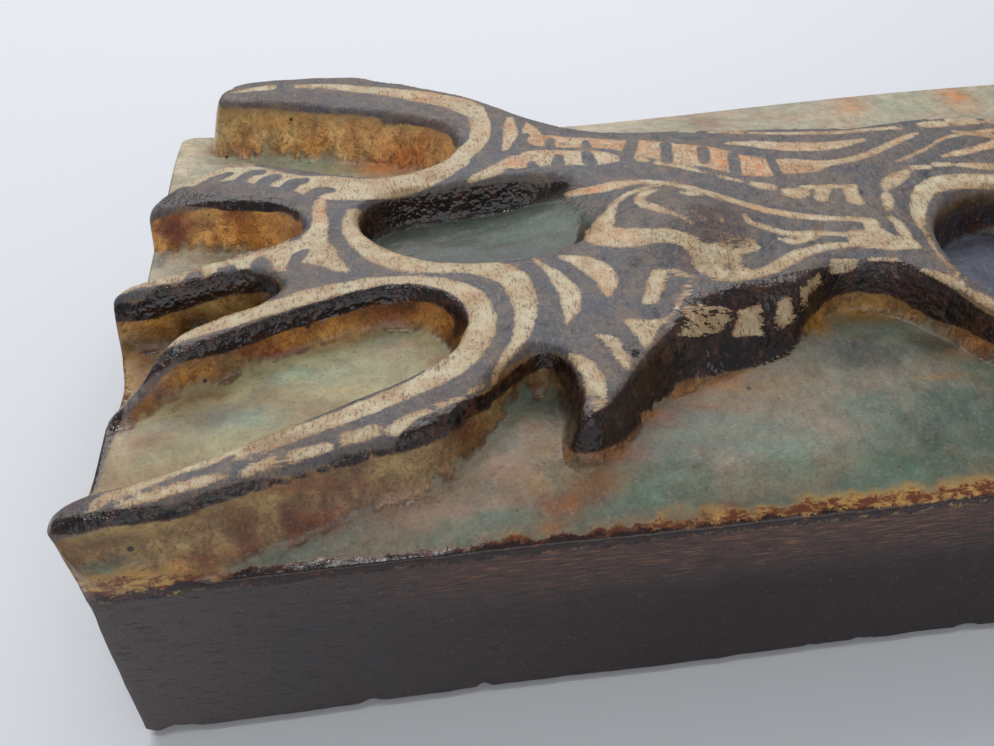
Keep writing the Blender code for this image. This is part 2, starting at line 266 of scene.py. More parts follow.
CREAM_TRUNK = [
    # the line round the shoulder's corner, from the block to the wedge
    [(71.3, 36, 0.4), (72.4, 35.7, 0.45), (73.3, 34.6, 0.4), (72.8, 32.7, 0.3), (70.8, 29.6, 0.2),
     (69.3, 27.2, 0.2), (67.9, 25.9, 0.25), (65.7, 25.9, 0.25)],
    # the boss: its collar, the rings on it and the line that runs over it to the well
    [(62.6, 45.9, 1.2), (64, 45.7, 2.3), (65.8, 45.2, 2.6), (68.1, 44.7, 2.4), (70.5, 44.8, 2.0),
     (73.3, 44.6, 1.8), (75.2, 43.5, 1.6), (76.2, 42.1, 1.6), (77.4, 39.9, 2.0), (79.8, 40, 1.85),
     (82.7, 40.8, 2.2), (84.7, 40.3, 0.8)],
    [(76.6, 39.6, 1.3), (76.8, 37.1, 2.0), (78.6, 35.7, 2.1), (80.8, 34.2, 1.3), (82.6, 34, 0.9),
     (85.3, 34.8, 0.92), (87.4, 36.1, 1.1), (89.6, 37.4, 1.05), (92.6, 38.4, 0.9), (95.5, 38.9, 0.77),
     (98.3, 38.8, 0.56)],
    [(63.2, 46, 0.8), (65.2, 48.6, 1.4), (66.7, 51.3, 0.85), (68.1, 53.7, 0.55), (70.2, 55.8, 0.45),
     (72.3, 57, 0.44), (74.5, 57.8, 0.4), (76, 58, 0.35)],
    [(75.1, 56.9, 0.4), (73.3, 56.1, 0.76), (72, 54.6, 0.7), (72.2, 53.1, 0.95), (73.7, 52, 0.9),
     (75.1, 50.8, 0.6), (76.1, 49.8, 0.34), (77.2, 48.5, 0.35), (77.7, 46.9, 0.26)],
    [(78.9, 55.8, 0.48), (79.7, 55.2, 0.78), (81.2, 55, 0.58)],
    [(82.3, 47.8, 0.3), (82.1, 47, 0.25)],
    [(56.8, 54.5, 0.2), (58.8, 55.7, 0.5), (60.7, 56.4, 0.65), (62.2, 57.4, 0.75), (64.3, 57.8, 1.0),
     (67, 58.4, 1.1), (69.7, 59.1, 1.1), (71.9, 59.5, 0.76), (74.4, 59.4, 0.65), (77.3, 58.5, 0.65),
     (80.6, 56.6, 0.7), (83.7, 54, 0.72), (86.3, 51.7, 0.72), (88.4, 49.9, 0.8), (90.4, 48.6, 0.85),
     (92.5, 47.5, 0.84), (94.7, 46.6, 0.84), (96.9, 45.9, 0.75), (99.3, 45.4, 0.65), (101.6, 45, 0.7),
     (103.6, 44, 0.9), (102.9, 42.8, 1.1), (103, 41.2, 1.5)],
    # the branching lines between the boss and the well
    [(85.9, 48.5, 0.27), (86.1, 46.2, 0.45), (87.4, 45, 0.6), (88.7, 43.9, 0.62), (90.7, 42.7, 0.7),
     (93, 42.3, 0.77), (95.8, 42, 0.6), (98.5, 41.4, 0.55), (101.4, 41.2, 1.1), (103, 39.9, 1.9)],
    [(88.7, 41.5, 0.35), (90.6, 40.6, 0.74), (93.2, 41.1, 0.5), (94.6, 41.5, 0.3)],
    [(99.1, 39.4, 1.2), (101.5, 39.3, 1.9), (103.6, 38.6, 1.9), (105.8, 38.1, 1.5), (107, 36.9, 0.4)],
    [(98.9, 35.1, 0.32), (100.9, 34.8, 0.48), (103, 34.3, 0.33)],
    # the comb
    [(94.5, 53.7, 1.0), (95.5, 53.1, 1.5), (96.9, 52.9, 1.0)],
    [(97.4, 54.6, 0.65), (100, 54.4, 0.58), (103.1, 54.1, 0.58), (105.4, 54, 0.58)],
    [(100.2, 53.7, 1.1), (98.9, 51.2, 1.05)],
    [(104.3, 53.4, 1.1), (103.6, 50.1, 1.2), (104.1, 49.3, 0.7)],
    # dashes
    [(74.8, 67.2, 0.56), (75.5, 66.3, 0.8), (76.4, 65.7, 0.5)],
    [(77.8, 64.9, 0.75), (80.2, 63.8, 0.68), (82.4, 62.2, 0.6), (84.1, 60.9, 0.4)],
    [(85.8, 59.7, 0.36), (87.3, 58.6, 0.46), (88.8, 57.6, 0.35)],
    [(90.2, 56.6, 0.7), (91.6, 55.8, 1.0), (92.7, 55.3, 0.9)],
]
# Cream patches with corners: on the trunk's shoulder, down its flank, and on the boss's near side
CREAM_PATCHES = [
    [(68.9, 36.6), (71.5, 36.4), (67.6, 29.3), (65.7, 29.5)],
    [(62.4, 26.3), (63.4, 26.9), (65.3, 26.2), (68, 26.1), (66.3, 24), (65, 21.6), (63.7, 21),
     (63.3, 24.2)],
    [(71.1, 28.5), (76.1, 27.6), (75.6, 24.3), (73.1, 22.4), (68.3, 22.2), (70.2, 25)],
    [(77.3, 26.6), (80.8, 27.2), (78.8, 21.3), (74.8, 21.3), (76.3, 24.2)],
    [(83.2, 27.9), (85.3, 28.5), (83.5, 23.4), (80.7, 21.8)],
    [(91.2, 33.3), (90, 30.3), (88.4, 29.4), (85.6, 25.5), (87.3, 29.8), (89.2, 31.5)],
    [(93.7, 35.6), (97.6, 35.5), (95.5, 32.4), (92.3, 32.5)],
    [(77.7, 40.3), (80.7, 40.2), (83.9, 42.2), (85, 40.2), (82.2, 38.7), (81.1, 36.2), (82, 34.3),
     (84.7, 34.5), (82.5, 33.3), (79.8, 32.6), (76.9, 33.4), (75, 35.2), (76.7, 37.6)],
]
# Where the cream went on with a nearly dry brush, and is browner: centre, reach and strength
DRY_SPOTS = [
    ((72.5, 25.4), (4, 2.6), 1), ((74.5, 31.8), (3.5, 2), 0.9), ((79.5, 44), (3, 2), 0.9),
    ((80, 36), (3.5, 2.5), 0.45), ((79, 24), (3, 3), 0.35), ((84, 26), (2.5, 3), 0.6),
    ((72, 34), (2, 2), 0.8), ((55.6, 13), (2.5, 4), 0.5), ((60.5, 21), (2, 3), 0.3),
    ((64.5, 23), (2, 2), 0.35), ((40, 13), (4, 2), 0.6), ((20, 7.5), (5, 1.5), 0.45),
    ((88, 30), (3, 3), 0.4), ((22, 42), (4, 2), 0.4), ((95, 34), (2, 2), 0.4),
    ((82, 41.5), (3, 2.5), 0.7),
]
CREAM_BRANCH = [
    # the upper row of cells, under the back edge, which thins to a line
    [(57.2, 83, 0.56), (56.5, 79.4, 1.25), (55.7, 75.4, 1.25), (54.6, 71.9, 0.4)],
    [(60, 81.1, 0.6), (59.8, 77.2, 1.5), (60.4, 74.2, 1.5), (62.3, 74.2, 1.9), (64.9, 73.1, 2.1),
     (67.5, 72.4, 2.2), (70, 71.7, 2.2), (72.6, 70.9, 2.2), (75.2, 70.3, 2.5), (77.7, 69.4, 2.8),
     (80.1, 68.2, 3.1), (82.5, 67, 3.3), (85, 66.2, 3.4), (87.3, 64.8, 3.4), (90, 62.8, 3.3),
     (92.7, 61.6, 3.1), (94.8, 61, 2.4)],
    [(96.4, 61.3, 2.3), (99, 61, 2.3), (101.6, 60.8, 1.8), (103.9, 61.2, 0.95), (106.2, 61.4, 0.8),
     (109.4, 62.3, 0.8), (112.8, 63.5, 0.72), (115.9, 65.4, 0.7), (119.5, 67.3, 0.7), (122.8, 68.8, 0.4)],
    # the lower row, a cream arch
    [(47.6, 63, 0.4), (48.5, 63.6, 0.85), (50.6, 65, 1.25), (53, 66.5, 1.45), (54.8, 67.6, 1.8),
     (56.7, 68.4, 2.3), (58.9, 68.8, 2.65), (61.3, 68.9, 2.7), (64, 68.7, 2.65), (66.6, 68.2, 2.6),
     (69.1, 67.7, 2.1), (71.4, 67.2, 1.2)],
    # the thin line and the lens along the back edge
    [(89, 73.8, 0.35), (93.9, 72.9, 0.45), (99.3, 71.9, 0.45), (104.8, 71.3, 0.5), (110.3, 70.8, 0.5),
     (114.8, 71.1, 0.5), (119.2, 71.1, 0.55), (121.1, 70.7, 0.36)],
    [(90.5, 69.6, 0.4), (92.7, 69.3, 0.7), (95.2, 68.7, 1.15), (97.7, 67.8, 1.4), (101.6, 66.9, 1.5),
     (105.7, 66.6, 1.35), (109.3, 67, 1.05), (113.1, 67.9, 0.4)],
]
CREAM_MIDDLE = [
    # the strands that run on over the middle
    [(123.1, 60.8, 0.35), (125.9, 61.5, 0.8), (129.1, 62.2, 0.87), (132.7, 63.4, 1.0), (139, 65.2, 0.8),
     (146, 65.4, 0.4)],
    [(115.1, 60.2, 0.3), (118.1, 61.7, 0.37), (121.5, 63.5, 0.32), (125.5, 66.1, 0.35),
     (128.4, 67.2, 0.42), (132.3, 67.8, 0.5), (136.2, 68.2, 0.6), (144, 68.6, 0.5), (152, 67.6, 0.4)],
    [(125.3, 71.5, 1.1), (127.7, 71.5, 1.2), (128.8, 71.3, 0.9)],
    [(130.5, 72.3, 1.0), (132.5, 72, 1.3), (134.5, 71.8, 1.0)],
    [(137.2, 72.6, 1.1), (140.4, 72.2, 1.0)],
    [(144.6, 71.4, 0.7), (148, 70.8, 0.6)],
    # the ring round the well, and the dashes outside it
    [(109.6, 41.4, 0.3), (110.7, 44, 0.95), (112.1, 47, 1.15), (114.2, 50.1, 1.4), (116.1, 51.8, 1.6),
     (118.6, 52.9, 2.0), (121.4, 53.1, 2.2), (125, 52.6, 2.4), (131.4, 51.2, 2.2), (136, 48.4, 1.8),
     (139.6, 43.6, 1.4), (141.2, 37.6, 1.2), (141.2, 31, 1.1), (139.4, 24.8, 1.2), (135.4, 19.6, 1.3)],
    [(109.8, 41, 0.3), (109.3, 38, 0.28), (108.8, 34.4, 0.3), (109.1, 31.1, 0.32), (109.5, 28.4, 0.26)],
    [(104.6, 31.8, 0.4), (106.3, 30.4, 1.0), (107.5, 28.3, 1.05), (108.6, 26.2, 0.8), (110.1, 23.4, 1.1),
     (112.4, 20.8, 1.2), (116, 18, 1.2), (121, 15.8, 1.2), (127, 15, 1.1), (132.6, 16.6, 1.0)],
    [(115.2, 57, 0.65), (113.6, 55.9, 1.15), (111, 54, 1.25), (109.5, 52.4, 0.5)],
    [(109, 50.8, 0.8), (108.2, 49, 0.9), (107.6, 47.2, 0.55)],
    [(106.7, 44.5, 0.55), (107, 43.1, 0.8), (106.8, 40.5, 0.8), (106.5, 38.8, 0.85)],
    [(116.7, 58.1, 0.75), (119.1, 57.9, 0.7)],
    [(120.9, 58.5, 0.7), (123.1, 58.3, 0.65)],
    [(124.2, 57.9, 0.55), (126.5, 57.3, 1.0), (129.5, 56.7, 1.1)],
    [(132.6, 56.2, 0.8), (135, 55.2, 0.8)],
    [(137.6, 53.4, 0.8), (139.6, 51.4, 0.8)],
    [(141.8, 48.8, 0.8), (143.2, 46, 0.8)],
]

# Dark brush marks over the cream: each is a run of points as before
TICKS_FINGERS = [
    # over the second finger
    [(12, 70.2, 0.6), (10.1, 69.2, 0.85), (8.2, 67.1, 1.05), (6.7, 65.2, 1.2)],
    [(16.7, 70.2, 0.8), (14.9, 69.8, 0.95), (13.2, 67.6, 1.05), (11.9, 65.4, 1.25)],
    [(18.8, 68.3, 1.0), (17.4, 67.3, 1.2), (16.6, 65, 1.25)],
    [(23, 66.6, 0.95), (21.6, 66.2, 1.25), (20.4, 64.5, 1.35)],
    [(27.2, 63.1, 0.75), (25.4, 63.4, 1.15), (23.9, 61.7, 1.2), (22.8, 60.2, 1.4)],
    [(1.4, 65.2, 0.9), (5, 65.8, 1.3), (9.3, 65.4, 1.6), (13.7, 64, 1.9), (17.5, 62.8, 1.8),
     (20.2, 61.3, 1.6), (22.4, 59.7, 1.4), (23.4, 56.8, 0.9), (23.4, 53.5, 0.6), (22.6, 51.6, 0.35)],
    # where the third finger joins the second
    [(23.4, 47.4, 0.6), (22.2, 45.9, 1.0), (21.6, 43.6, 0.5)],
    # across the top finger
    [(19, 102.8, 0.9), (19.4, 98.6, 1.1)],
    # the top finger's inner band, round the top gap's end
    [(8, 96.8, 1.7), (11.9, 96.8, 2.3), (17, 96.6, 2.6), (22.2, 95.1, 2.6), (27.3, 93.6, 2.6),
     (32.4, 91.6, 2.6), (35.7, 89.7, 2.8), (39, 87.4, 3.4), (42.3, 85.9, 3.6), (45.4, 83.9, 3.3),
     (47.5, 81, 2.5), (48.1, 77.5, 1.4), (47.2, 74.5, 0.8)],
    [(37.2, 84.7, 1.4), (37, 81.8, 1.1)],
    # the stripe between the arc and the rows of cells
    [(54.4, 87, 0.9), (54.4, 85.4, 0.9), (54.5, 80.2, 0.93), (53.4, 74.7, 1.2), (50.2, 69.1, 1.7)],
    # the thin contour along the palm's near lip
    [(4.8, 6.5, 0.35), (8.6, 8.4, 0.4), (12.5, 10.1, 0.5), (18.6, 12.4, 0.5), (25.1, 14.7, 0.6),
     (30.7, 17.3, 0.65), (35.4, 19.6, 0.6), (39.2, 22.5, 0.4), (41.3, 25.1, 0.25)],
    # the thin contour along the back edge
    [(22.2, 101.4, 0.4), (31, 100.7, 0.5), (39.7, 98, 0.6), (48.2, 94.1, 0.7), (54.6, 89.2, 0.7),
     (59, 83.6, 0.8), (63, 78.4, 1.0), (67.7, 76.5, 1.0), (74.3, 75.4, 0.9), (87.3, 73.7, 0.6)],
    # in the front finger's cream
    [(14.8, 8.7, 0.3), (15.8, 9.1, 0.4)],
    [(9.8, 7, 0.15), (10.6, 7.2, 0.2)],
    [(6.2, 4.9, 0.25), (8.5, 6.1, 0.35), (11, 6.9, 0.3)],
]
TICKS_BRANCH = [
    [(58.8, 76.8, 0.8), (57, 73.5, 1.0), (56.1, 70.9, 0.9)],
    [(62.4, 74.5, 0.76), (61.9, 72, 0.96)],
    [(68, 73.2, 0.6), (67.7, 71, 0.9)],
    [(76.3, 75.6, 0.76), (75.1, 71.1, 1.05), (73, 66.9, 1.2)],
    [(80.6, 70.4, 0.95), (79.8, 67.1, 1.0), (79.4, 65.4, 1.0)],
    [(86.1, 68.5, 0.9), (85.4, 65.8, 1.05), (85, 64.2, 0.8)],
    [(90.3, 65.9, 0.85), (89.1, 61.6, 1.0), (88.8, 60, 0.9)],
    [(95.7, 63.6, 0.75), (95.3, 60.4, 0.8), (95.1, 58.6, 0.8)],
    [(54.4, 65.2, 1.1), (55, 64.1, 1.2)],
    [(58.1, 67.3, 0.8), (58.1, 64.2, 1.3)],
    [(62.7, 68.9, 0.85), (62.1, 66.3, 1.1)],
    [(67.3, 69.3, 0.9), (67.3, 66.6, 1.25)],
    # the line between the two rows of cells
    [(50.4, 67.8, 0.3), (51.8, 69.2, 0.44), (53.6, 70.4, 0.6), (55.4, 71.5, 0.65), (57.9, 72, 0.62),
     (60.6, 72, 0.6), (64.5, 71.2, 0.5), (67.6, 70.7, 0.5), (70.7, 69.9, 0.6), (72.6, 68.6, 0.8)],
    # on the boss
    [(76.7, 45, 0.4), (77.3, 44.6, 0.5)],
]

# Black glossy lines along the lips and down the walls below them
BANDS_FINGERS = [
    [(-0.5, 63.4, 0.9), (1.1, 63.7, 1.1), (3.6, 63.9, 1.6), (6.5, 63.3, 1.8), (9.5, 62.6, 2.0),
     (12.4, 61.7, 2.2), (15.3, 61.1, 2.2), (18.2, 60.4, 2.1), (20.4, 59.6, 1.6), (21.6, 57.8, 0.8),
     (22.4, 55, 0.35)],
    [(4.5, 23.3, 1.1), (4.9, 24.7, 1.3), (6, 25.7, 1.35), (7.8, 27, 1.7), (9.8, 27.8, 1.75),
     (12.9, 28.5, 1.9), (15.8, 29.6, 1.9), (18.7, 31, 1.8), (22.7, 32.6, 1.8), (26.9, 34.1, 1.95),
     (31, 35.6, 1.9), (35, 36.1, 2.0), (39, 35.3, 1.7), (42, 32.5, 1.3), (42.6, 29, 0.9), (41.5, 26, 0.5)],
    [(-1, 2.1, 0.9), (0.3, 2.1, 0.9), (2.6, 2.1, 1.2), (5.1, 2.4, 1.1), (7.9, 2.4, 1.1), (9.8, 2.3, 1.0),
     (11.9, 2.7, 1.0), (14, 3.6, 1.0), (16.8, 4.4, 0.95), (19.3, 5, 0.8), (21.3, 5.1, 0.5),
     (23.5, 5.6, 0.45), (25.8, 6.3, 0.55), (27.7, 7, 0.8), (30.5, 7.6, 0.7), (33.1, 8.1, 0.75),
     (34.9, 9.2, 1.5), (36.7, 10.6, 2.1), (38.7, 11.6, 2.0), (40.7, 12.9, 1.5), (42.9, 13.8, 1.2)],
    # the palm's left end
    [(4.2, 24.7, 0.5), (3.4, 20.3, 0.45), (2.8, 15.9, 0.5), (2.4, 12.9, 0.55), (2.3, 9.9, 0.45),
     (2.4, 6.4, 0.3)],
    # the eye's far wall
    [(32.7, 50.7, 0.8), (33.4, 53.8, 1.7), (35.1, 55.7, 3.3), (37.6, 55.4, 4.2), (41.2, 56.1, 4.3),
     (45.7, 57.1, 4.4), (50.5, 57.5, 4.2), (54.3, 58.6, 3.6), (56.9, 58.8, 2.3), (59.5, 59.4, 1.6),
     (61.8, 60.1, 1.0)],
]
BANDS_THIRD_GAP = [
    [(0.2, 36.9, 1.5), (2.1, 36.7, 2.0), (4.1, 36.7, 2.2), (6.1, 37.5, 2.1), (8.4, 38.6, 2.15),
     (10.8, 39.7, 2.2), (13.1, 40.5, 2.2), (15.4, 40.9, 2.4), (17.5, 40.6, 2.0), (19.1, 39.3, 1.1),
     (19.3, 37.8, 0.5)],
    [(4.8, 39, 1.5), (5.4, 41, 1.2)],
    [(8.2, 40, 1.7), (8.8, 42, 1.3)],
    [(11.6, 41.4, 1.7), (12.2, 43, 1.1)],
    [(14.6, 42, 1.6), (15.4, 43.4, 1.0)],
]
BANDS_SPUR = [
    [(42.9, 13.8, 1.1), (44.7, 15.2, 0.83), (46.5, 16.9, 0.8), (48.3, 18.5, 0.9), (49.9, 19.5, 1.0),
     (51.5, 20.3, 1.4), (52.6, 19.4, 1.4), (53.5, 17.6, 1.2), (53.6, 15.3, 1.0), (53.6, 13, 1.05),
     (53.5, 10.2, 1.1), (53.1, 7.9, 1.35), (52.5, 6.1, 1.4)],
    [(53.4, 6.2, 1.7), (55.7, 7.2, 2.0), (57.6, 8.9, 2.2), (59.7, 11, 2.3), (61.9, 13.5, 2.5),
     (64.2, 16.1, 2.7)],
    [(61.5, 21.4, 0.5), (62.3, 20.1, 0.8)],
    # the spur's tip, below its cream
    [(54.4, 14.6, 0.5), (54.4, 12.6, 0.6), (54.4, 10.4, 1.0), (54.8, 8.8, 1.4), (57, 10.4, 1.2)],
    [(57, 10, 1.2), (59.4, 12.4, 1.3), (61.6, 15, 1.2), (63, 17, 0.8)],
]
# The trunk's black flank, under its cream blocks
BLACK_FLANK = [
    (59, 8.8), (61.4, 10.6), (63.3, 12.3), (64.9, 13.8), (66.2, 14.3), (68.7, 14.7), (71.3, 15),
    (73.8, 15.4), (76.4, 15.8), (79.2, 16.5), (81.5, 18), (83.5, 20.5), (85.2, 23), (88, 25.6),
    (89.9, 27), (91.6, 27.9), (94, 28.2), (95.9, 27.7), (98, 26.8), (99.2, 24.9), (100.2, 23),
    (100.9, 21.7), (103.6, 19.3), (106.1, 15.8), (110, 13), (113.5, 14.5), (110.5, 18), (108.9, 20.6),
    (107.9, 23.2), (107.2, 25.9), (106.1, 29.2), (105.1, 31.7), (102.8, 34.2), (98.8, 34.5),
    (95.9, 33.7), (93.2, 34), (90.4, 34.1), (85.6, 33.2), (81.4, 32.4), (76.8, 31.7), (72.1, 30.3),
    (70.8, 29.4), (69.8, 27.2), (67.9, 24.2), (65.5, 21.8), (63.2, 19.1), (61, 16),
]

# All spots are on both halves, but weaker on the right one, and they overlap a little more than their
# strengths say
PLAIN_SPOT_SHARE = 0.6
SPOT_GAIN = 1.3
# Peach and orange stains in the cream: centre, reach and strength
PEACH_SPOTS = [
    ((60, 77), (8, 6), 0.7), ((76, 71), (12, 4), 0.6), ((87, 66), (4, 4), 0.9),
    ((93, 62.5), (4, 4), 0.9), ((101, 61), (5, 3), 0.7), ((66, 58.4), (4, 1.6), 1.0),
    ((91, 49), (6, 2), 0.6), ((55.8, 66.6), (1.6, 2), 1.0), ((25.6, 58), (2.4, 4), 0.9),
    ((66, 45.6), (3, 2.5), 0.5), ((102, 67), (6, 2), 0.5), ((26, 62), (3, 2), 0.6),
    ((130, 64), (8, 5), 0.5), ((62, 33), (3, 5), 0.35), ((44.6, 36), (2.5, 2), 0.35),
    ((44, 92), (5, 4), 0.4),
]
# Where the slate and the black are brownish purple, and where the slate is bluish
DUSKY_SPOTS = [
    ((56, 14), (3, 6), 0.7), ((76, 25), (8, 4), 0.8), ((60, 20), (2.5, 3), 0.5),
    ((22, 95), (11, 3.5), 1), ((44, 85), (5, 4), 1), ((8, 65), (6.5, 2), 1),
    ((23, 11), (10.5, 1.5), 0.8), ((38, 15), (2.5, 2), 0.6), ((2, 5), (2, 1), 1), ((80, 50), (4, 3), 1),
    ((81, 43), (4, 3), 1), ((75, 38), (3.5, 2.5), 0.8), ((100, 28), (7, 4), 0.8),
    ((52, 16), (2, 1.5), 0.6), ((104, 61), (8.5, 3), 0.6),
]
BLUISH_SPOTS = [
    ((30, 56), (2, 6), 1), ((16, 68), (7, 2), 0.7), ((49, 42), (5, 3), 0.8), ((59, 31), (4.5, 3.5), 0.8),
    ((87, 40), (3, 3.5), 1), ((72, 65), (7, 3), 0.8), ((54, 72), (2, 6), 0.8), ((48, 67), (4, 4), 0.7),
    ((41, 39), (7, 1.5), 0.7),
]
# Where each glaze gathers in the hollows: centre, reach and strength, laid out as the strokes are. The
# pale spots are partly pale glaze and partly painted highlights where the glossy glaze shines
GLAZE_SPOTS = {
    "olive": [
        ((11, 86), (4.5, 5.5), 0.9), ((9, 57), (2, 3.5), 0.6), ((12, 37), (3, 1.5), 0.7),
        ((2, 31), (1.5, 2.5), 0.8), ((14, 25), (3, 1.5), 0.6), ((12, 18), (4.5, 2), 0.8),
        ((4, 1), (5.5, 1), 0.7), ((20, 3), (3, 0.5), 0.7), ((28, 18), (4, 1), 0.6),
        ((9, -2), (4.5, 1), 0.5), ((34, 5), (4, 1), 0.4),
    ],
    "mint": [
        ((24, 72), (3, 1.5), 0.9), ((13, 49), (2, 1), 0.7), ((23, 22), (5.5, 2), 0.9),
        ((16, 15), (5, 2), 0.7), ((8, 15), (2, 1), 0.6), ((33, 27), (4, 2), 0.6), ((123, 79), (3, 3), 0.7),
    ],
    "teal": [
        ((6, -4), (2, 1), 0.9), ((40, -2), (3, 2), 0.9), ((35, -5), (4, 1), 0.7),
        ((58, -1), (5.5, 2.5), 0.8), ((66, 6), (4, 1.5), 0.5), ((75, 1), (5.5, 3), 0.6),
        ((85, -2), (4.5, 2), 0.7),
    ],
    "mauve": [
        ((7, 13), (3.5, 1.5), 0.6), ((34, 0), (8, 3), 0.8), ((43, -1), (5.5, 1.5), 0.5),
        ((46, 4), (3, 2.5), 0.8), ((67, 1), (2.5, 2), 0.6), ((35, 25), (3.5, 1.5), 0.6),
        ((81, 5), (3, 2), 0.4), ((89, 77), (3.5, 2.5), 0.9), ((43, 4), (2, 2), 0.5),
    ],
    # Partly pale glaze, partly painted highlights: pale patches where the glossy floors shine
    "pale": [
        ((5, 79), (2.5, 8.5), 1), ((13, 73), (4.5, 1.5), 0.8), ((7, 48), (3.5, 1.5), 0.8),
        ((73, 78), (7.5, 3), 0.6), ((93, -6), (3.5, 0.5), 0.9), ((114, 76), (5, 2), 0.4),
        ((4, 14), (1, 3), 0.5),
    ],
    "ochre_ground": [
        ((11.7, 18.8), (4, 2.4), 0.8), ((8, 13), (3, 2), 0.6), ((17, 23.6), (4, 1.6), 0.6),
        ((27, 28.4), (6, 1.4), 0.8), ((33, 30.6), (2, 1.5), 0.8), ((12, 15.5), (4, 1.6), 0.5),
    ],
    "amber": [
        ((18, 87), (4.5, 4), 0.6), ((21, 77), (5.5, 2), 0.9), ((19, 55), (3, 4), 0.9),
        ((15, 51), (2.5, 2), 0.9), ((9, 23), (3.5, 1.5), 0.9), ((29, 30), (3.5, 2), 0.9),
        ((23, 28), (3, 1.5), 0.9), ((39, 30), (2.5, 2), 1), ((4, 34), (3, 1.5), 0.9),
        ((10, -5), (3.5, 0.5), 0.9), ((49, 1), (3, 1.5), 0.5),
    ],
    "umber": [
        ((93, 25), (5, 2.6), 1), ((99, 24), (4, 2.4), 1), ((86, 23), (1.6, 3), 1),
        ((98, 11), (4, 0.5), 0.9), ((68, 13), (6, 1.5), 0.9), ((76, 12), (4, 1.5), 0.7),
    ],
    "orange": [
        ((40, 74), (6, 5), 0.9), ((36, 69), (4.5, 2.5), 0.9), ((3, 61), (1.5, 3), 0.5),
        ((103, 17), (3.5, 2.5), 0.9), ((136, 80), (3, 4), 0.8), ((32, 80), (3.5, 6), 0.5),
    ],
    "red_brown": [
        ((4.6, 56), (3.4, 4.5), 1), ((9, 56), (2, 1.5), 0.5), ((13, 59), (2, 2.5), 0.8),
        ((33, 31), (2, 1.5), 0.9), ((20, 26), (4.5, 1), 0.8), ((10, 78), (3, 2), 0.6),
        ((24, -1), (3.5, 1.5), 0.8), ((16, -4), (3.5, 1), 0.6), ((23, 4), (4.5, 1), 0.6),
        ((55, 4.6), (2.6, 1.4), 1), ((51, -1.5), (3, 1.5), 0.8), ((58, 3.6), (2, 1), 0.6),
        ((61, 8), (3, 1), 0.6), ((48, 9), (1, 1), 0.8), ((42, 10), (3, 1.5), 0.5),
        ((68, 10), (5, 1), 0.5), ((48, -2), (1, 1.5), 0.6), ((65, -5), (2.5, 1), 0.5),
    ],
    "rust": [
        ((57, 4.5), (2.6, 1.4), 1), ((53.5, 0.5), (2.4, 2), 0.9), ((49.5, -2), (2.4, 1.6), 0.8),
        ((47, -5), (2, 1.2), 0.8), ((61, 9.3), (3, 1.2), 1), ((66.5, 12.6), (4, 1.1), 0.9),
        ((73, 14.3), (5, 1.1), 0.8), ((43, -4.5), (2, 1), 0.5), ((28, 3), (5, 0.8), 0.6),
        ((6, 21.5), (4, 1), 0.7), ((33, 30.6), (4, 1), 0.7),
    ],
    "earth": [
        ((49, 6), (4, 4), 0.9), ((38, 2), (7, 3), 0.45), ((74, 10.5), (7, 2), 0.9),
        ((56, 1.5), (4, 2), 0.5), ((30, -4), (8, 2), 0.4),
    ],
    "celadon": [
        ((60, 51), (6, 5), 1), ((66, 53), (4, 3), 1), ((50, 49), (8, 4), 0.8), ((15, 16.5), (6, 3.5), 0.45),
        ((97, 6), (7, 4), 0.9), ((104, 3), (8, 6), 0.9), ((64, 3), (5, 3), 0.5), ((90, 1), (5, 4), 0.7),
    ],
    "deep_green": [
        ((91, 3), (4, 2), 0.4), ((92, 17), (7, 3.2), 1.0), ((101, 17), (3, 2), 0.8),
        ((52, 12), (2, 2.5), 0.8), ((101, 8), (2, 2), 0.5), ((4, 47), (1, 2), 0.8),
        ((89, 14.5), (4, 2), 0.5), ((63, 48), (2, 3), 0.5),
    ],
}

# ---------------------------------------------------------------- shapes


def closed_curve(points, steps=8):
    """A smooth closed curve through the points: a centripetal Catmull-Rom spline."""
    here = np.array(points, float)
    after = np.roll(here, -1, axis=0)
    before = np.roll(here, 1, axis=0)
    span = np.sqrt(np.linalg.norm(after - here, axis=1))[:, None]
    last = np.roll(span, 1, axis=0)
    slope = (here - before) / last - (after - before) / (last + span) + (after - here) / span
    leave = (slope * span)[:, None, :]
    arrive = (np.roll(slope, -1, axis=0) * span)[:, None, :]
    t = (np.arange(steps) / steps)[None, :, None]
    curve = (
        (2 * t**3 - 3 * t**2 + 1) * here[:, None, :] + (t**3 - 2 * t**2 + t) * leave
        + (3 * t**2 - 2 * t**3) * after[:, None, :] + (t**3 - t**2) * arrive
    )
    return curve.reshape(-1, 2)


def open_curve(points, steps=4):
    """A smooth open curve through the points, each along, across and half a width: Catmull-Rom."""
    here = np.array(points, float)
    padded = np.vstack([2 * here[0] - here[1], here, 2 * here[-1] - here[-2]])
    before, start, end, after = padded[:-3], padded[1:-2], padded[2:-1], padded[3:]
    t = (np.arange(steps) / steps)[None, :, None]
    b, s, e, a = (each[:, None, :] for each in (before, start, end, after))
    bend = (2 * b - 5 * s + 4 * e - a) * t**2 + (3 * s - b - 3 * e + a) * t**3
    curve = 0.5 * (2 * s + (e - b) * t + bend)
    return np.vstack([curve.reshape(-1, here.shape[1]), here[-1:]])


def oval(centre, radii, sides=64):
    """A closed oval."""
    turn = np.linspace(0, 2 * np.pi, sides, endpoint=False)
    return np.stack([centre[0] + radii[0] * np.cos(turn), centre[1] + radii[1] * np.sin(turn)], 1)


def mirrored(points):
    """The outline on the other side of the plaque's middle, in the opposite order."""
    return [(LENGTH - u, v) for u, v in reversed(points)]


